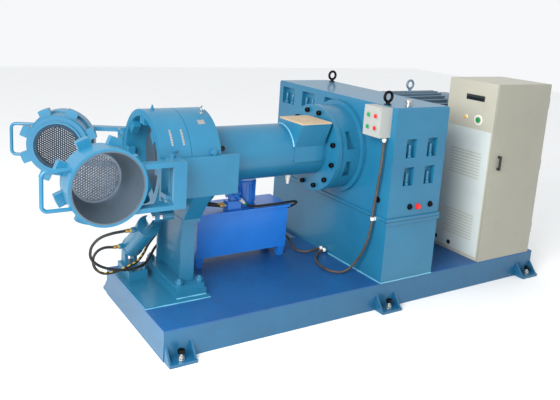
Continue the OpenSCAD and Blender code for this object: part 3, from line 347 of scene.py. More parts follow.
def bare_metal(name, colour, dark, rough, oil=0.3):
    finish = Finish(name, Metallic=1.0)
    where = finish.place()
    drawn = finish.node("ShaderNodeMapping", {}, {"Vector": where, "Scale": TOOL_LINES})
    scratch = finish.noise(drawn, scale=190.0, detail=4.0, rough=0.65)
    stain = finish.noise(where, scale=21.0, detail=5.0, rough=0.65)
    stain = finish.spread(stain, low=0.45, high=0.72)
    finish.set(Base_Color=finish.mix(stain * oil, colour, dark))
    finish.set(Roughness=rough + 0.16 * scratch + 0.2 * stain * oil)
    finish.set(Normal=finish.bump(scratch, strength=0.07, distance=0.0006))
    return finish.material


bare_steel = bare_metal("machined_steel", rgb(196, 199, 202), rgb(110, 108, 104), rough=0.28)
chrome_rod = bare_metal("chromed_rod", rgb(224, 226, 228), rgb(150, 150, 150), rough=0.08, oil=0.12)
zinc = bare_metal("zinc_plate", rgb(190, 192, 190), rgb(120, 116, 104), rough=0.32)
brass = bare_metal("brass", rgb(206, 170, 98), rgb(128, 96, 52), rough=0.26)
front_sieve = bare_metal("front_sieve_steel", rgb(150, 163, 178), rgb(80, 86, 96), rough=0.44)
rear_sieve = bare_metal("rear_sieve_steel", rgb(52, 68, 84), rgb(33, 41, 50), rough=0.55)
black_oxide = bare_metal("black_oxide", rgb(34, 34, 36), rgb(18, 18, 18), rough=0.36)
print("metals: 7")

# %% [markdown]
# ## Paint the solids
# Each solid keeps its shape and gets the finish of the real piece. It could be
# done solid by solid, but a list of finishes with the names that wear them is
# shorter. Everything that it doesn't name is in machine enamel.

# %% Paint the solids
PAINT_LIST = (
    (front_head_enamel, "front_head"),
    (rear_head_enamel, "rear_head"),
    (barrel_ring_enamel, "barrel_ring"),
    (motor_enamel, "drive_motor"),
    (rail_enamel_painted_shade, "front_rail rear_rail head_end_rail drive_end_rail bay_frame"),
    (deck_enamel, "deck_plate bay_deck"),
    (tank_enamel, "oil_tank tank_lid pump_motor valve_block"),
    (bare_steel, "screw front_screen rear_screen"),
    (chrome_rod, "cylinder_rod"),
    (shell_cream, "cabinet_shell"),
    (door_cream_painted_shade, "cabinet_door"),
    (panel_grey, "louvre_panel"),
    (box_white, "control_box"),
    (cover_board, "feed_cover"),
    (black_plastic, "door_handle"),
    (white_plastic, "conduit_clip"),
    (green_plastic, "selector_knob button_green_1 button_green_2"),
    (red_plastic, "button_red_1 button_red_2"),
)
coat_of = {name: coat for coat, names in PAINT_LIST for name in names.split()}
for name, solid in nodes.items():
    solid.data.materials.clear()
    solid.data.materials.append(coat_of.get(name, machine_enamel))
print("painted", len(nodes), "solids,", len(coat_of), "of them not in machine enamel")

# %% [markdown]
# ## Cords
# Two hydraulic hoses feed the lock cylinder, a third runs on the oil tank, and two
# conduits carry the wiring. A curve with a round bevel would draw them too. Here
# each is a ring extruded along its own route, the same points that the solids
# follow, because the mesh can then carry a UV map that keeps the distance along
# the hose, and what is printed or wound on it follows every bend. A smooth curve
# through the points is sampled about every 12 mm.

# %% Cord helpers
RUN_STEP = 0.012
STEEP = 0.9  # from this rise on, a heading counts as upright


def smooth_run(points):
    """Samples a smooth curve through the points of a route."""
    ends = [2 * points[0] - points[1]] + points + [2 * points[-1] - points[-2]]
    run = [points[0]]
    for a, b, c, d in zip(ends, ends[1:], ends[2:], ends[3:]):
        count = max(2, round((c - b).length / RUN_STEP))
        square, cube = 2 * a - 5 * b + 4 * c - d, 3 * b - a - 3 * c + d
        for t in (k / count for k in range(1, count + 1)):
            run.append(0.5 * (2 * b + (c - a) * t + square * t * t + cube * t**3))
    return run


def run_length(run):
    return sum((b - a).length for a, b in zip(run, run[1:]))


def sweep(run, radius, sides=14):
    """Extrudes a ring along a run, with a UV map that keeps the distance from its start."""
    mesh = bmesh.new()
    uv = mesh.loops.layers.uv.new("run")
    heading = (run[1] - run[0]).normalized()
    level = Vector((0, 0, 1)) if abs(heading.z) < STEEP else Vector((1, 0, 0))
    side = heading.cross(level).normalized()
    ring = bmesh.ops.create_circle(mesh, cap_ends=False, segments=sides, radius=radius)["verts"]
    stand = Matrix((side, heading.cross(side), heading)).transposed().to_4x4()
    bmesh.ops.transform(mesh, matrix=Matrix.Translation(run[0]) @ stand, verts=ring)
    first = edges = mesh.edges[:]
    here, gone = run[0], 0.0
    for k, point in enumerate(run[1:], 1):
        ahead = (run[min(k + 1, len(run) - 1)] - run[k - 1]).normalized()
        bend = heading.rotation_difference(ahead).to_matrix().to_4x4()
        grown = bmesh.ops.extrude_edge_only(mesh, edges=edges)["geom"]
        verts = [g for g in grown if isinstance(g, bmesh.types.BMVert)]
        move = Matrix.Translation(point) @ bend @ Matrix.Translation(-here)
        bmesh.ops.transform(mesh, matrix=move, verts=verts)
        edges = [g for g in grown if isinstance(g, bmesh.types.BMEdge)]
        far = gone + (point - here).length
        for face in (g for g in grown if isinstance(g, bmesh.types.BMFace)):
            for loop in face.loops:
                loop[uv].uv = (0.5, far) if loop.vert in verts else (0.0, gone)
        heading, here, gone = ahead, point, far
    bmesh.ops.contextual_create(mesh, geom=first)
    bmesh.ops.contextual_create(mesh, geom=edges)
    bmesh.ops.recalc_face_normals(mesh, faces=mesh.faces)
    return mesh


print("cord helpers ready")

# %% [markdown]
# ## Hose and conduit finishes
# The hose cover is black rubber over a wire braid whose weave just shows through.
# One hose has a broken yellow line printed on it. The conduit is a brown
# spiral-wound tube. The line and the ribs read the distance in the UV map. The
# ribs could be modelled, but at this size a bump looks the same and costs no
# faces.

# %% Hose and conduit finishes
DASHES_PER_METRE, DASH_SHARE = 22.0, 0.55
LINE_START, LINE_END = 0.30, 0.78  # the stretch that carries the line, in metres
RIB_RADIANS = 900.0  # how far the ribs' sine turns in a metre of tube


def hose_rubber(name, printed):
    finish = Finish(name)
    along = finish.part(finish.node("ShaderNodeUVMap", {"uv_map": "run"}, {}), 1)
    where = finish.place()
    braid = {"Vector": where, "Scale": 90.0, "Distortion": 0.6}
    weave = finish.node("ShaderNodeTexWave", {"bands_direction": "DIAGONAL"}, braid)
    scuff = finish.noise(where, scale=30.0, detail=5.0, rough=0.6)
    scuff = finish.spread(scuff, low=0.45, high=0.72)
    tone = finish.mix(scuff * 0.4, rgb(24, 24, 25), rgb(62, 60, 58))
    if printed:
        dash = along.math("FRACT", along * DASHES_PER_METRE) < DASH_SHARE
        dash = dash * (along > LINE_START) * (along < LINE_END)
        rise = finish.part(finish.node("ShaderNodeNewGeometry", {}, {}, out="Normal"), 2)
        upper = finish.spread(rise, low=0.55, high=0.75)
        tone = finish.mix(dash * upper, tone, rgb(214, 178, 40))
    finish.set(Base_Color=tone, Roughness=0.52 + 0.2 * scuff)
    finish.set(Normal=finish.bump(weave, strength=0.12, distance=0.001))
    return finish.material


def conduit_skin(name):
    finish = Finish(name)
    along = finish.part(finish.node("ShaderNodeUVMap", {"uv_map": "run"}, {}), 1)
    rib = along.math("SINE", along * RIB_RADIANS)
    scuff = finish.noise(finish.place(), scale=24.0, detail=5.0, rough=0.6)
    scuff = finish.spread(scuff, low=0.42, high=0.70)
    tone = finish.mix(scuff * 0.5, rgb(62, 53, 47), rgb(98, 86, 76))
    finish.set(Base_Color=tone, Roughness=0.48 + 0.14 * scuff)
    finish.set(Normal=finish.bump(rib, strength=0.35, distance=0.0012))
    return finish.material


hose_black = hose_rubber("hose_rubber", printed=False)
hose_lined = hose_rubber("hose_rubber_printed", printed=True)
conduit_brown = conduit_skin("brown_conduit")
print("cord finishes: 3")

# %% [markdown]
# ## The five runs
# The points are in millimetres from the operator's head-end corner of the base,
# which is how a fitter would measure them. Each run leaves its fitting straight,
# sags or lies on the deck, and goes straight into the next fitting. A simulated
# rope could find its own way, but chosen points keep it on its solid.

# %% Routes
ROUTES = {
    "lock_hose_a": [
        (12, 630, 663), (-40, 630, 663), (-130, 636, 654), (-205, 650, 626), (-252, 670, 562),
        (-248, 695, 478), (-190, 716, 408), (-100, 733, 358), (0, 745, 330), (95, 762, 322),
        (180, 806, 326), (245, 868, 345), (300, 925, 380), (370, 950, 435), (435, 945, 505),
        (490, 936, 585), (545, 920, 662), (650, 880, 697), (740, 842, 695), (795, 830, 690),
        (824, 830, 690),
    ],
    "lock_hose_b": [
        (12, 873, 460), (-30, 873, 460), (-87, 873, 466), (-138, 871, 454), (-175, 859, 422),
        (-187, 845, 379), (-174, 830, 336), (-139, 817, 305), (-95, 816, 292), (-30, 815, 296),
        (45, 819, 312), (110, 836, 325), (165, 866, 342), (215, 908, 372), (265, 948, 418),
        (325, 965, 475), (385, 965, 540), (445, 958, 610), (510, 950, 682), (590, 934, 714),
        (668, 908, 718), (738, 880, 702), (795, 868, 690), (824, 868, 690),
    ],
    "control_conduit": [
        (1718, 72, 1316), (1718, 72, 1250), (1719, 80, 1090), (1720, 98, 930), (1720, 118, 770),
        (1720, 120, 725), (1720, 120, 665), (1716, 138, 545), (1708, 176, 420), (1692, 228, 318),
        (1660, 268, 246), (1605, 284, 221), (1545, 318, 221), (1520, 390, 221), (1528, 480, 221),
        (1562, 575, 221), (1615, 645, 224), (1680, 685, 236), (1703, 690, 240), (1725, 690, 240),
    ],
    "tank_conduit": [
        (1725, 735, 240), (1700, 735, 240), (1673, 738, 239), (1634, 736, 233), (1585, 749, 224),
        (1549, 783, 222), (1532, 836, 225), (1534, 882, 236), (1534, 930, 271), (1514, 968, 303),
        (1484, 990, 324), (1445, 1000, 333), (1425, 1000, 333),
    ],
    "tank_hose": [
        (967, 796, 720), (997, 796, 693), (1045, 798, 670), (1110, 800, 662), (1210, 800, 662),
        (1310, 800, 662), (1400, 801, 664), (1462, 814, 660), (1514, 846, 640), (1538, 896, 608),
        (1528, 946, 574), (1482, 982, 547), (1448, 990, 540), (1425, 990, 540),
    ],
}
print("routes:", {name: len(points) for name, points in ROUTES.items()})

# %% Cords
CORNER = Vector((1.775, 0.555, 0.0))  # from the corner of the base to the origin
CORD = 0.020  # diameter of every hose and conduit


def at_base(x, y, z):
    """A point measured in millimetres from the operator's head-end corner of the base."""
    return Vector((x, y, z)) / 1000 - CORNER


def piece(name, mesh, coat, body, smooth=40):
    """Turns a bmesh into a finished piece that rides on a body."""
    data = bpy.data.meshes.new(name)
    mesh.to_mesh(data)
    mesh.free()
    made = bpy.data.objects.new(name, data)
    bpy.context.scene.collection.objects.link(made)
    data.materials.append(coat)
    data.shade_smooth()
    data.set_sharp_from_angle(angle=math.radians(smooth))
    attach(made, body)
    return made


for name, points in ROUTES.items():
    run = smooth_run([at_base(*p) for p in points])
    coat, slot = hose_lined if name == "lock_hose_b" else hose_black, "hose_rubber"
    if "conduit" in name:
        coat, slot = conduit_brown, "conduit_plastic"
    length = run_length(run)
    tube = piece(name + "_run", sweep(run, CORD / 2), coat, "frame", smooth=60)
    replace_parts(tube, name)
    print(name, "length", round(length, 3), "m")

# %% [markdown]
# ## A few shop tools
# Most small fittings are drums or turned profiles. A library of ready bolts could
# be loaded instead, but two helpers make them all: they place a form by its foot
# and by the way it faces, in millimetres from the corner of the base. Rims are
# bevelled, because a real edge always catches a little light.

# %% Shop tools
MM = 0.001
UP, HEADWARD, DRIVEWARD, OPERATOR = (0, 0, 1), (-1, 0, 0), (1, 0, 0), (0, -1, 0)
WELD_GAP = 1e-6  # vertices closer than this are one


def soften(mesh, edges, width):
    """Bevels edges by a width in metres."""
    bmesh.ops.bevel(
        mesh, geom=edges, offset=width, affect="EDGES", segments=2, profile=0.5, material=-1
    )


def facing(at, axis):
    """A matrix that stands a form at a point of the base frame, its z along axis."""
    turn = Vector(axis).to_track_quat("Z", "Y").to_matrix().to_4x4()
    return Matrix.Translation(at_base(*at)) @ turn


def drum(mesh, at, axis, radius, height, sides, edge=0.0):
    """A cylinder or prism by its foot; sizes in millimetres."""
    where = facing(at, axis) @ Matrix.Translation((0, 0, height / 2 * MM))
    verts = bmesh.ops.create_cone(
        mesh, cap_ends=True, segments=sides, radius1=radius * MM, radius2=radius * MM,
        depth=height * MM, matrix=where,
    )["verts"]
    if edge:
        edges = {e for v in verts for e in v.link_edges}
        rims = [e for e in edges if any(len(f.verts) == sides for f in e.link_faces)]
        soften(mesh, rims, edge * MM)


def turned(mesh, at, axis, outline, steps):
    """Spins an outline of (radius, height) in millimetres about an axis."""
    before = set(mesh.verts)
    verts = [mesh.verts.new((r * MM, 0, z * MM)) for r, z in outline]
    edges = [mesh.edges.new(pair) for pair in zip(verts, verts[1:])]
    bmesh.ops.spin(
        mesh, geom=verts + edges, cent=(0, 0, 0), axis=UP, angle=math.tau, steps=steps,
        use_merge=True,
    )
    fresh = [v for v in mesh.verts if v not in before]
    bmesh.ops.transform(mesh, matrix=facing(at, axis), verts=fresh)
    bmesh.ops.remove_doubles(mesh, verts=fresh, dist=WELD_GAP)
    fresh = [v for v in mesh.verts if v not in before]
    bmesh.ops.recalc_face_normals(mesh, faces=list({f for v in fresh for f in v.link_faces}))


print("shop tools ready")

# %% [markdown]
# ## Bolts that hold the drive
# Twelve black socket screws hold the flange of the bearing housing to the feed
# barrel. The gearbox has cast pockets, each with a stud and nut standing in it.
# A screw head is turned from one outline, key hole and all. The studs are one
# piece, because they share a finish and never move.

# %% Drive bolts
AXIS_Y, AXIS_Z = 670, 1145  # the screw's axis
FLANGE_X, FLANGE_CIRCLE, FLANGE_SCREWS = 1500, 300, 12
FLANGE_HEAD = (19, 26)  # radius and height
STUD, STUD_NUT = 12, 34  # a stud's radius, its nut across flats
END_POCKETS = [(x, 20, z) for x in (1930, 2143) for z in (966, 1182)]
SIDE_POCKETS = [(1777, y + side, 1368) for y in (801, 1128, 1435) for side in (-46, 46)]


def hex_bolt(mesh, at, axis, across):
    """A hexagon head on its washer, sized by the width across flats."""
    washer = across * 0.09
    drum(mesh, at, axis, across * 0.62, washer, 24, across * 0.02)
    seat = Vector(at) + Vector(axis) * washer
    drum(mesh, seat, axis, across / math.sqrt(3), across * 0.55, 6, across * 0.06)


def socket_screw(mesh, at, axis, radius, height):
    """A cylinder head with its key hole, turned from one outline."""
    shares = ((0, 0.4), (0.48, 0.4), (0.52, 1), (0.86, 1), (1, 0.88), (1, 0), (0, 0))
    turned(mesh, at, axis, [(radius * r, height * z) for r, z in shares], steps=18)


flange = bmesh.new()
for turn in (math.tau * (k + 0.5) / FLANGE_SCREWS for k in range(FLANGE_SCREWS)):
    y, z = AXIS_Y + FLANGE_CIRCLE * math.cos(turn), AXIS_Z + FLANGE_CIRCLE * math.sin(turn)
    socket_screw(flange, (FLANGE_X, y, z), HEADWARD, *FLANGE_HEAD)
piece("flange_screws", flange, black_oxide, "frame")

studs = bmesh.new()
for pockets, height in ((END_POCKETS, 96), (SIDE_POCKETS, 92)):
    for at in pockets:
        drum(studs, at, UP, radius=STUD, height=height, sides=16, edge=1.5)
        hex_bolt(studs, at, UP, STUD_NUT)
piece("pocket_studs", studs, machine_enamel, "frame")
print("flange screws", FLANGE_SCREWS, "pocket studs", len(END_POCKETS + SIDE_POCKETS))

# %% [markdown]
# ## Feet and hold-down bolts
# A bright screw with a black head levels each foot of the base, and large nuts
# hold the pedestal and the cylinder's bracket. Each levelling screw is a nut, a
# shank and a head, stacked on the foot. Heads and shanks are two pieces, because
# they have two finishes.

# %% Levelling screws and hold-down bolts
FRONT_FEET = [(100, -47.5), (1822, -47.5), (3450, -47.5)]
REAR_FEET = [(100, 1157.5), (3450, 1157.5), (1820, 1657.5), (3080, 1657.5)]
FOOT_TOP, SHANK_FOOT, HEAD_FOOT = 22, 20, 66
PEDESTAL_BOLTS = [(x, y, 302) for x in (278, 430) for y in (408, 932)]
BRACKET_BOLTS = [(x, 794, 292) for x in (72, 170)]

shanks, heads = bmesh.new(), bmesh.new()
for x, y in FRONT_FEET + REAR_FEET:
    hex_bolt(shanks, (x, y, FOOT_TOP), UP, across=38)
    drum(shanks, (x, y, SHANK_FOOT), UP, radius=12, height=52, sides=20, edge=1.0)
    drum(heads, (x, y, HEAD_FOOT), UP, radius=24, height=26, sides=6, edge=3.0)
piece("levelling_shanks", shanks, zinc, "frame")
piece("levelling_heads", heads, black_oxide, "frame")

holding = bmesh.new()
for at in PEDESTAL_BOLTS:
    hex_bolt(holding, at, UP, across=48)
    drum(holding, at, UP, radius=15, height=46, sides=16, edge=2.0)
for at in BRACKET_BOLTS:
    hex_bolt(holding, at, UP, across=34)
piece("hold_down_bolts", holding, machine_enamel, "frame")
print("levelling screws", len(FRONT_FEET + REAR_FEET))
print("hold-down bolts", len(PEDESTAL_BOLTS + BRACKET_BOLTS))

# %% [markdown]
# ## Perforated screens
# In each head sits a breaker plate drilled with hundreds of holes. Cutting them
# with booleans would be slow, so one hexagonal cell, a hole bridged to a hexagon,
# is made once and laid out like a honeycomb; merging the doubles welds the cells
# into one plate. A turned rim hides the ragged border, as the clamping rim does
# on the real plate.

# %% One cell of a screen
CELL, HOLE, PLATE = 9.6, 6.2, 23.0  # a cell's corner radius, a hole's radius, the thickness
FLAT = 1e-7  # a face this near to z = 0 is on the plate's upper side


def only_verts(geometry):
    return [g for g in geometry if isinstance(g, bmesh.types.BMVert)]


cell = bmesh.new()
bmesh.ops.create_circle(cell, segments=6, radius=CELL * MM)
bmesh.ops.subdivide_edges(cell, edges=cell.edges[:], cuts=1)
inner = set(bmesh.ops.create_circle(cell, segments=12, radius=HOLE * MM)["verts"])
lip = [e for e in cell.edges if e.verts[0] in inner]
bmesh.ops.bridge_loops(cell, edges=cell.edges[:])
wall = bmesh.ops.extrude_edge_only(cell, edges=lip)["geom"]
bmesh.ops.translate(cell, vec=(0, 0, -PLATE * MM), verts=only_verts(wall))
upper = [f for f in cell.faces if abs(f.calc_center_median().z) < FLAT]
lower = bmesh.ops.duplicate(cell, geom=upper)["geom"]
bmesh.ops.translate(cell, vec=(0, 0, -PLATE * MM), verts=only_verts(lower))
cell_data = bpy.data.meshes.new("screen_cell")
cell.to_mesh(cell_data)
cell.free()
print("faces in a cell:", len(cell_data.polygons))

# %% Screens
DRILLED = 143  # holes lie within this radius
COLUMNS, ROWS = range(-10, 11), range(-9, 10)
SUNK = 1.5  # the drilled face lies this far under the rim
RIM = [(140, 0), (162.5, 0), (164, -1.5), (164, -24.5), (162.5, -26), (140, -26), (140, 0)]
CELL_GAP = 2e-5


def screen(name, node, body, at, axis, coat):
    plate = bmesh.new()
    across, up = 1.5 * CELL, math.sqrt(3) * CELL  # from one column and one row to the next
    grid = [(across * c, up * (r + 0.5 * (c % 2))) for c in COLUMNS for r in ROWS]
    holes = [(x, y) for x, y in grid if math.hypot(x, y) < DRILLED]
    for x, y in holes:
        start = len(plate.verts)
        plate.from_mesh(cell_data)
        plate.verts.ensure_lookup_table()
        bmesh.ops.translate(plate, vec=(x * MM, y * MM, -SUNK * MM), verts=plate.verts[start:])
    bmesh.ops.remove_doubles(plate, verts=plate.verts, dist=CELL_GAP)
    bmesh.ops.transform(plate, matrix=facing(at, axis), verts=plate.verts)
    bmesh.ops.recalc_face_normals(plate, faces=plate.faces)
    turned(plate, at, axis, RIM, steps=72)
    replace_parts(piece(name, plate, coat, body, smooth=35), node)
    print(name, "holes:", len(holes))


front_seat, rear_seat = (-333, 334, 1145), (-339.4, 1206.6, 1145)
rear_way = (-0.42262, -0.90631, 0)
screen("front_breaker_plate", "front_screen", "front_head", front_seat, (0, 1, 0), front_sieve)
screen("rear_breaker_plate", "rear_screen", "rear_head", rear_seat, rear_way, rear_sieve)
bpy.data.meshes.remove(cell_data)

# %% [markdown]
# ## Hose ends
# A hydraulic hose ends in a crimped brass sleeve, at the cylinder with a six-sided
# nut behind it, and a conduit ends in a white gland. The valve end of the return
# hose has a white adapter and a green band. Stacked cylinders would be quicker, but
# all except the nuts are turned from an outline of radius and height, as the real
# ones are on a lathe.

# %% Hose ends
SLEEVE = [(10, 0), (14, 0), (14, 12), (12.6, 14), (13.4, 20), (13.4, 40), (12, 46), (10, 46)]
VALVE_SLEEVE = [
    (10, -6), (16, -6), (16, 6), (12.8, 8), (13.4, 14), (13.4, 30), (12, 36), (10, 36),
]
TANK_SLEEVE = [(10, -6), (16, -6), (16, 6), (12.8, 8), (13.2, 14), (13.2, 26), (10, 28)]
NUT_X = 34

sleeves, nuts = bmesh.new(), bmesh.new()
for hose in ("lock_hose_a", "lock_hose_b"):
    x, y, z = ROUTES[hose][0]
    drum(nuts, (NUT_X, y, z), HEADWARD, radius=22, height=24, sides=6, edge=2.0)
    turned(sleeves, (x, y, z), HEADWARD, SLEEVE, steps=20)
for hose in ("lock_hose_a", "lock_hose_b"):
    turned(sleeves, ROUTES[hose][-1], HEADWARD, VALVE_SLEEVE, steps=20)
turned(sleeves, ROUTES["tank_hose"][-1], DRIVEWARD, TANK_SLEEVE, steps=20)
piece("hose_sleeves", sleeves, brass, "frame")
piece("hose_nuts", nuts, machine_enamel, "frame")
print("sleeves 5, nuts 2")

# %% Return hose adapter and conduit glands
ADAPTER = [(10, -26), (16, -26), (16, -12), (13, -8), (13, 20), (11.5, 26), (10, 26)]
BAND, BAND_PLACE = [(10, 0), (11.6, 0), (11.6, 16), (10, 16)], 30
GLAND = [(10, -8), (17, -8), (18, -6), (18, 2), (15, 5), (13, 15), (10, 17)]

adapter, band = bmesh.new(), bmesh.new()
outlet, second = (Vector(point) for point in ROUTES["tank_hose"][:2])
fall = (second - outlet).normalized()
turned(adapter, outlet, fall, ADAPTER, steps=20)
piece("return_hose_adapter", adapter, white_plastic, "frame")
turned(band, outlet + fall * BAND_PLACE, fall, BAND, steps=20)
piece("return_hose_band", band, green_plastic, "frame")

glands = bmesh.new()
turned(glands, ROUTES["control_conduit"][-1], HEADWARD, GLAND, steps=12)
turned(glands, ROUTES["tank_conduit"][0], HEADWARD, GLAND, steps=12)
turned(glands, ROUTES["control_conduit"][0], (0, 0, -1), GLAND, steps=12)
turned(glands, ROUTES["tank_conduit"][-1], DRIVEWARD, GLAND, steps=12)
piece("conduit_glands", glands, white_plastic, "frame")
print("adapter 1, glands 4")

# %% [markdown]
# ## Gearbox fittings
# Black screw plugs close the oil passages, a red one marks the drain, and a
# breather stands on the lid. All are turned parts. Blackened eyebolts lift the
# case: a ring is a small round outline, turned about an axis beside it. A thin
# black strip shows all round where the case meets its pedestal, partly the gasket
# in the joint and partly painted shade under the case's lip. It is four bars,
# because a real gasket is cut from strip.

# %% Gearbox plugs and eyebolts
PLUG = [(0, 22), (9, 22), (10, 15), (17, 15), (19, 12), (19, 4), (24, 4), (24, 0), (0, 0)]
DRAIN_PLUG = [(0, 24), (15, 24), (19, 20), (20, 6), (25, 5), (25, 0), (0, 0)]
BREATHER = [
    (0, 46), (24, 46), (30, 41), (30, 24), (27, 22), (20, 22), (20, 6), (30, 6), (30, 0), (0, 0),
]
EYE_FOOT = [(0, 26), (15.8, 26), (15.8, 7), (27, 6), (28, 0), (0, 0)]
CASE_TOP, EYE_RISE = 1560, 60


def round_bar(radius, bar, parts=10):
    """The closed outline of a round bar, to be turned into a ring."""
    turns = [math.tau * k / parts for k in range(parts + 1)]
    return [(radius + bar * math.cos(turn), bar * math.sin(turn)) for turn in turns]


plugs, drain, breather, eyes = (bmesh.new() for k in range(4))
for x in (1975, 2187):
    turned(plugs, (x, 0, 798), OPERATOR, PLUG, steps=20)
turned(plugs, (1757, 118, 843), HEADWARD, PLUG, steps=20)
piece("oil_plugs", plugs, black_oxide, "frame")
turned(drain, (2058, 0, 793), OPERATOR, DRAIN_PLUG, steps=24)
piece("drain_plug", drain, red_plastic, "frame")
turned(breather, (1950, 100, CASE_TOP), UP, BREATHER, steps=24)
piece("breather", breather, zinc, "frame")
for x, y in ((1804.5, 166.5), (2237.5, 1443.3)):
    turned(eyes, (x, y, CASE_TOP + EYE_RISE), (0, 1, 0), round_bar(radius=36, bar=10.9), steps=36)
    turned(eyes, (x, y, CASE_TOP), UP, EYE_FOOT, steps=24)
piece("lifting_eyebolts", eyes, black_oxide, "frame")
print("plugs 4, breather 1, eyebolts 2")

# %% Case gasket and painted shade
GASKET_AND_SHADE_LOW, GASKET_AND_SHADE_HIGH = (1746, -11, 694.5), (2296, 1597, 697.5)
SIDE_STRIP, END_STRIP = 15, 12  # how far the strips reach in


def block(mesh, low, high, edge):
    """A bar or plate between two corners, with softened edges."""
    a, b = at_base(*low), at_base(*high)
    where = Matrix.Translation((a + b) / 2) @ Matrix.Diagonal((*(b - a), 1.0))
    verts = bmesh.ops.create_cube(mesh, size=1.0, matrix=where)["verts"]
    soften(mesh, list({e for v in verts for e in v.link_edges}), edge * MM)


# Black strips over the split joint: a gasket, and painted shade under the case's lip.
gasket_and_shade = bmesh.new()
(x0, y0, z0), (x1, y1, z1) = GASKET_AND_SHADE_LOW, GASKET_AND_SHADE_HIGH
block(gasket_and_shade, (x0, y0, z0), (x1, y0 + SIDE_STRIP, z1), edge=0.4)
block(gasket_and_shade, (x0, y1 - SIDE_STRIP, z0), (x1, y1, z1), edge=0.4)
block(gasket_and_shade, (x0, y0, z0), (x0 + END_STRIP, y1, z1), edge=0.4)
block(gasket_and_shade, (x1 - END_STRIP, y0, z0), (x1, y1, z1), edge=0.4)
piece("case_gasket_and_shade", gasket_and_shade, black_plastic, "frame")
print("gasket strips 4")

# %% [markdown]
# ## Weld beads
# Where plates meet, a welder leaves a rippled bead. Its paint is mixed paler than
# the enamel round it, a painted highlight that makes each bead a bright line. A
# bump on a straight tube would keep a straight outline, so a thin tube is swept
# along the joint and its skin moved in and out by a sine.

# %% Weld beads
BEAD_STEP = 0.011
RIPPLE, RIPPLE_RADIANS = 0.0007, 600  # its height, and how far its sine turns in a metre


def bead(points, radius):
    """A rippled tube along a joint given in millimetres from the base's corner."""
    corners = [at_base(*point) for point in points]
    run = corners[:1]
    for a, b in zip(corners, corners[1:]):
        count = max(2, round((b - a).length / BEAD_STEP))
        run += [a.lerp(b, k / count) for k in range(1, count + 1)]
    mesh = sweep(run, radius * MM, 8)
    span = (run[-1] - run[0]).length
    for v in mesh.verts:
        share = (v.co - run[0]).length / span
        middle = run[round(share * (len(run) - 1)) % len(run)]
        swell = RIPPLE * math.sin((v.co.x + v.co.y + v.co.z) * RIPPLE_RADIANS)
        v.co += (v.co - middle).normalized() * swell
    return mesh


HOPPER_X, HOPPER_WELD = 1201, 205  # the hopper's face, and the weld's radius about the axis
hopper_arc = [
    (HOPPER_X, AXIS_Y - HOPPER_WELD * math.sin(a), AXIS_Z + HOPPER_WELD * math.cos(a))
    for a in (math.radians(-8 + 4 * k) for k in range(21))
]
seams = {
    "hopper_weld": (hopper_arc, 6.5),
    "case_foot_weld_front": ([(1757, -2, 213), (2285, -2, 213)], 6.0),
    "case_foot_weld_end": ([(1755, 0, 213), (1755, 665, 213)], 6.0),
    "pad_weld_front": ([(2, 324, 212), (480, 324, 212)], 5.0),
    "pad_weld_drive_side": ([(481, 326, 212), (481, 1014, 212)], 5.0),
    "pedestal_foot_weld": ([(242, 364, 224), (466, 364, 224)], 5.0),
}
# Each bead wears the paler paint, a painted highlight line along its joint.
for name, (points, radius) in seams.items():
    piece(name, bead(points, radius), weld_highlight_enamel, "frame", smooth=80)
print("weld beads", len(seams))

# %% [markdown]
# ## Cabinet and control box trim
# The cabinet's upper panel has a narrow display, a yellow lamp and a ring round
# the selector; two rubber grommets sit low in the side. The control box has a
# lid held by four small screws. The display is two bevelled plates, one in the
# other, and all that is round is turned.

# %% Cabinet trim
PANEL_X = 2834  # the face that carries the controls
LAMP = [(0, 20), (8, 18), (12, 12), (12.5, 0), (0, 0)]
LAMP_RING = [(13, 0), (18, 0), (18, 4), (16, 6), (13, 6), (13, 0)]
SELECTOR_RING = [(31, 0), (44, 0), (44, 2), (42, 3), (31, 3), (31, 0)]
GROMMET = [(0, 1), (9, 1), (9, 3), (16, 5), (20, 3), (20, 0), (0, 0)]
LID_SCREW = [(0, 1.5), (1.2, 1.5), (1.2, 3), (5, 2.6), (6.5, 1), (6.5, 0), (0, 0)]

surround, glass = bmesh.new(), bmesh.new()
block(surround, (2829, 140, 1559), (2834.5, 333, 1605), edge=1.5)
block(glass, (2827, 148, 1567), (2830, 325, 1597), edge=0.8)
piece("display_frame", surround, black_plastic, "frame")
piece("display_glass_pane", glass, dark_glass, "frame")

lamp_at, selector_at = (PANEL_X, 314, 1408), (PANEL_X, 182, 1401)
lamp_cap, rings, grommets, screws = (bmesh.new() for k in range(4))
turned(lamp_cap, lamp_at, HEADWARD, LAMP, steps=24)
piece("yellow_lamp", lamp_cap, yellow_plastic, "frame")
turned(rings, lamp_at, HEADWARD, LAMP_RING, steps=24)
turned(rings, selector_at, HEADWARD, SELECTOR_RING, steps=36)
piece("lamp_and_selector_rings", rings, white_plastic, "frame")
for y, z in ((498, 287), (340, 278)):
    turned(grommets, (2831, y, z), HEADWARD, GROMMET, steps=24)
piece("cabinet_grommets", grommets, black_plastic, "frame")
for y in (66, 234):
    for z in (1346, 1544):
        turned(screws, (1652, y, z), HEADWARD, LID_SCREW, steps=16)
piece("box_lid_screws", screws, zinc, "frame")
print("display 1, lamp 1, rings 2, grommets 2, lid screws 4")

# %% [markdown]
# ## Fittings on the lock ring and barrel
# Two oil slots and two grease points sit on the lock ring and turn with it. An
# eyebolt, a block and a bare metal plate sit on the barrel ring, a plug on the
# barrel, and a drain hangs under it. All but the drain are placed by their angle
# about the screw's axis, because that is how their holes would be drilled.

# %% Lock ring fittings
RING_RADIUS = 345  # outside of the lock ring and of the barrel ring
SLOTS_X, SLOT_START, SLOT_STEP, SLOT_DISCS = (178, 258), 28, 2.8, 7
GREASE_POINT = [
    (0, 34), (5, 34), (7, 30), (5, 26), (6, 20), (10, 19), (10, 8), (16, 8), (16, 0), (0, 0),
]


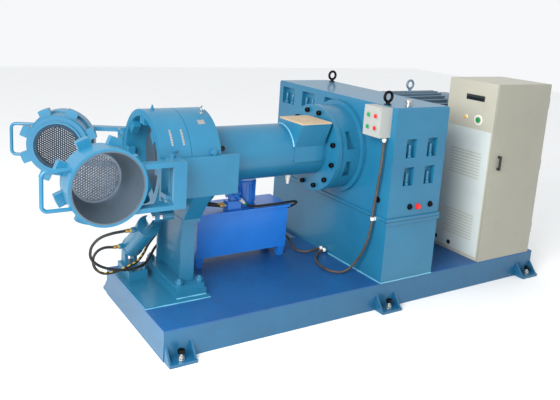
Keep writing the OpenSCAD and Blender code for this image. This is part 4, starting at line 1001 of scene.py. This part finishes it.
def on_ring(x, angle, radius):
    """A point on a drum about the screw's axis, and the way out of it; 0 is the operator's side."""
    out = Vector((0, -math.cos(math.radians(angle)), math.sin(math.radians(angle))))
    return Vector((x, AXIS_Y, AXIS_Z)) + out * radius, out


slots, greasers = bmesh.new(), bmesh.new()
for x in SLOTS_X:
    for k in range(SLOT_DISCS):
        at, out = on_ring(x, SLOT_START + SLOT_STEP * k, RING_RADIUS + 1)
        radius = 8 if k in (0, SLOT_DISCS - 1) else 9
        drum(slots, at, out, radius, height=2.2, sides=12, edge=0.6)
piece("lock_ring_slots", slots, zinc, "lock_ring")
for x, angle in ((150, 88), (184, 21)):
    turned(greasers, *on_ring(x, angle, RING_RADIUS), GREASE_POINT, steps=12)
piece("lock_ring_grease_points", greasers, machine_enamel, "lock_ring")
print("slots 2, grease points 2")

# %% Barrel fittings
BARREL_EYE, BARREL_EYE_RISE = round_bar(radius=17, bar=5), 34
BARREL_EYE_FOOT = [(0, 14), (8, 14), (8, 6), (15, 5), (15, 0), (0, 0)]
BARE_PLATE = (0.052, 0.040, 0.004)  # in metres
DRAIN_TUBE = [
    (0, 78), (9, 78), (12, 74), (12, 50), (17, 48), (17, 26), (22, 25), (22, 6), (27, 5), (27, 0),
    (0, 0),
]
PROBE_PLUG = [(0, 6), (9, 6), (10, 16), (15, 17), (18, 12), (18, 0), (0, 0)]

ring_block, barrel_eye, bare_plate, drain_tube, probe = (bmesh.new() for k in range(5))
drum(ring_block, *on_ring(460, 17, RING_RADIUS), radius=26, height=22, sides=6, edge=2.0)
piece("barrel_ring_block", ring_block, machine_enamel, "frame")
at, out = on_ring(470, 72, RING_RADIUS)
turned(barrel_eye, at + out * BARREL_EYE_RISE, DRIVEWARD, BARREL_EYE, steps=28)
turned(barrel_eye, at, out, BARREL_EYE_FOOT, steps=16)
piece("barrel_ring_eyebolt", barrel_eye, zinc, "frame")
where = facing(*on_ring(425, 55, RING_RADIUS + 1)) @ Matrix.Diagonal((*BARE_PLATE, 1.0))
verts = bmesh.ops.create_cube(bare_plate, size=1.0, matrix=where)["verts"]
soften(bare_plate, list({e for v in verts for e in v.link_edges}), 1.5 * MM)
piece("bare_plate", bare_plate, zinc, "frame")
turned(drain_tube, (1293, AXIS_Y, 944), (0, 0, -1), DRAIN_TUBE, steps=12)
piece("barrel_drain", drain_tube, white_plastic, "frame")
turned(probe, *on_ring(604, 25, 202), PROBE_PLUG, steps=20)
piece("barrel_probe_plug", probe, black_plastic, "frame")
print("barrel fittings 5")

# %% [markdown]
# ## Pump and motor detail
# The pump motor has cooling ribs and a cap, and the big motor's fan blows through
# a ring grille in its cowl. The barrel half hides the pump and the grille faces
# away from the camera, so both follow ordinary practice. Ribs are thin plates set
# round a circle, and the grille is rings of round bar on six spokes. An array
# modifier could repeat them, but a loop keeps each piece's place in its mesh.

# %% Pump ribs
PUMP, PUMP_RIBS, PUMP_RADIUS = Vector((1058, 932, 682)), 20, 82
RIB = (0.018, 0.004, 0.164)  # in metres
PUMP_CAP, PUMP_CAP_RISE = [(0, 11), (60, 11), (88, 8), (92, 0), (92, -16), (84, -16)], 171

ribs = bmesh.new()
middle = Vector((0, 0, RIB[2] / 2 / MM))
for turn in (math.tau * k / PUMP_RIBS for k in range(PUMP_RIBS)):
    foot = PUMP + Vector((math.cos(turn), math.sin(turn), 0)) * PUMP_RADIUS
    where = Matrix.Translation(at_base(*(foot + middle))) @ Matrix.Rotation(turn, 4, "Z")
    bmesh.ops.create_cube(ribs, size=1.0, matrix=where @ Matrix.Diagonal((*RIB, 1.0)))
turned(ribs, PUMP + Vector((0, 0, PUMP_CAP_RISE)), UP, PUMP_CAP, steps=40)
piece("pump_ribs", ribs, tank_enamel, "frame", smooth=30)
print("pump ribs", PUMP_RIBS)

# %% Fan grille
GRILLE_RINGS, GRILLE_SPOKES, GRILLE_BAR = (60, 105, 150, 195), 6, 3.0
MOTOR_Y, MOTOR_Z = 850, 1255

grille = bmesh.new()
motor_end = (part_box("drive_motor")[1][0] + CORNER.x) / MM
fan = (motor_end - GRILLE_BAR, MOTOR_Y, MOTOR_Z)
for radius in GRILLE_RINGS:
    turned(grille, fan, DRIVEWARD, round_bar(radius, GRILLE_BAR, parts=8), steps=40)
for turn in (math.tau * k / GRILLE_SPOKES for k in range(GRILLE_SPOKES)):
    drum(grille, fan, (0, math.cos(turn), math.sin(turn)), radius=2.6, height=220, sides=8)
piece("fan_grille", grille, black_oxide, "frame")
print("grille rings", len(GRILLE_RINGS), "spokes", GRILLE_SPOKES)

# %% [markdown]
# ## Floor and light
# A pale floor and a white world stand in for the cut-out background, with one
# large soft lamp at the head end, as in a workshop by a window. More lamps would
# flatten the shapes. The plain display transform keeps the enamel as blue as it
# was mixed.

# %% Floor
FLOOR_LIGHT, FLOOR_DARK = (0.93, 0.935, 0.94, 1.0), (0.89, 0.895, 0.90, 1.0)
floor_finish = Finish("studio_floor", Roughness=0.7)
grain = floor_finish.noise(floor_finish.place(), scale=3.0, detail=3.0, rough=0.5)
floor_finish.set(Base_Color=floor_finish.mix(grain, FLOOR_LIGHT, FLOOR_DARK))
floor_mesh = bmesh.new()
bmesh.ops.create_grid(floor_mesh, x_segments=8, y_segments=8, size=16.0)
floor_data = bpy.data.meshes.new("floor")
floor_mesh.to_mesh(floor_data)
floor_mesh.free()
floor_data.materials.append(floor_finish.material)
floor = bpy.data.objects.new("floor", floor_data)
bpy.context.scene.collection.objects.link(floor)
print("floor laid")

# %% Light
SKY, SKY_STRENGTH = (0.97, 0.985, 1.0, 1.0), 0.95
LAMP_PLACE, LAMP_AIM = Vector((-4.5, -2.6, 3.2)), Vector((-0.8, 0.1, 0.9))
LAMP_SIZE, LAMP_POWER, LAMP_TINT = 3.0, 400, (1.0, 0.99, 0.97)

bpy.context.scene.view_settings.view_transform = "Standard"
world = bpy.data.worlds.new("studio")
bpy.context.scene.world = world
world.use_nodes = True
sky = world.node_tree.nodes["Background"]
sky.inputs["Color"].default_value = SKY
sky.inputs["Strength"].default_value = SKY_STRENGTH
lamp_data = bpy.data.lights.new("window", "AREA")
lamp_data.size, lamp_data.energy, lamp_data.color = LAMP_SIZE, LAMP_POWER, LAMP_TINT
lamp = bpy.data.objects.new("window", lamp_data)
lamp.location = LAMP_PLACE
lamp.rotation_euler = (LAMP_AIM - LAMP_PLACE).to_track_quat("-Z", "Y").to_euler()
bpy.context.scene.collection.objects.link(lamp)
print("lamps 1")

# %% [markdown]
# ## Done

# %% Done
print("scene dressed")
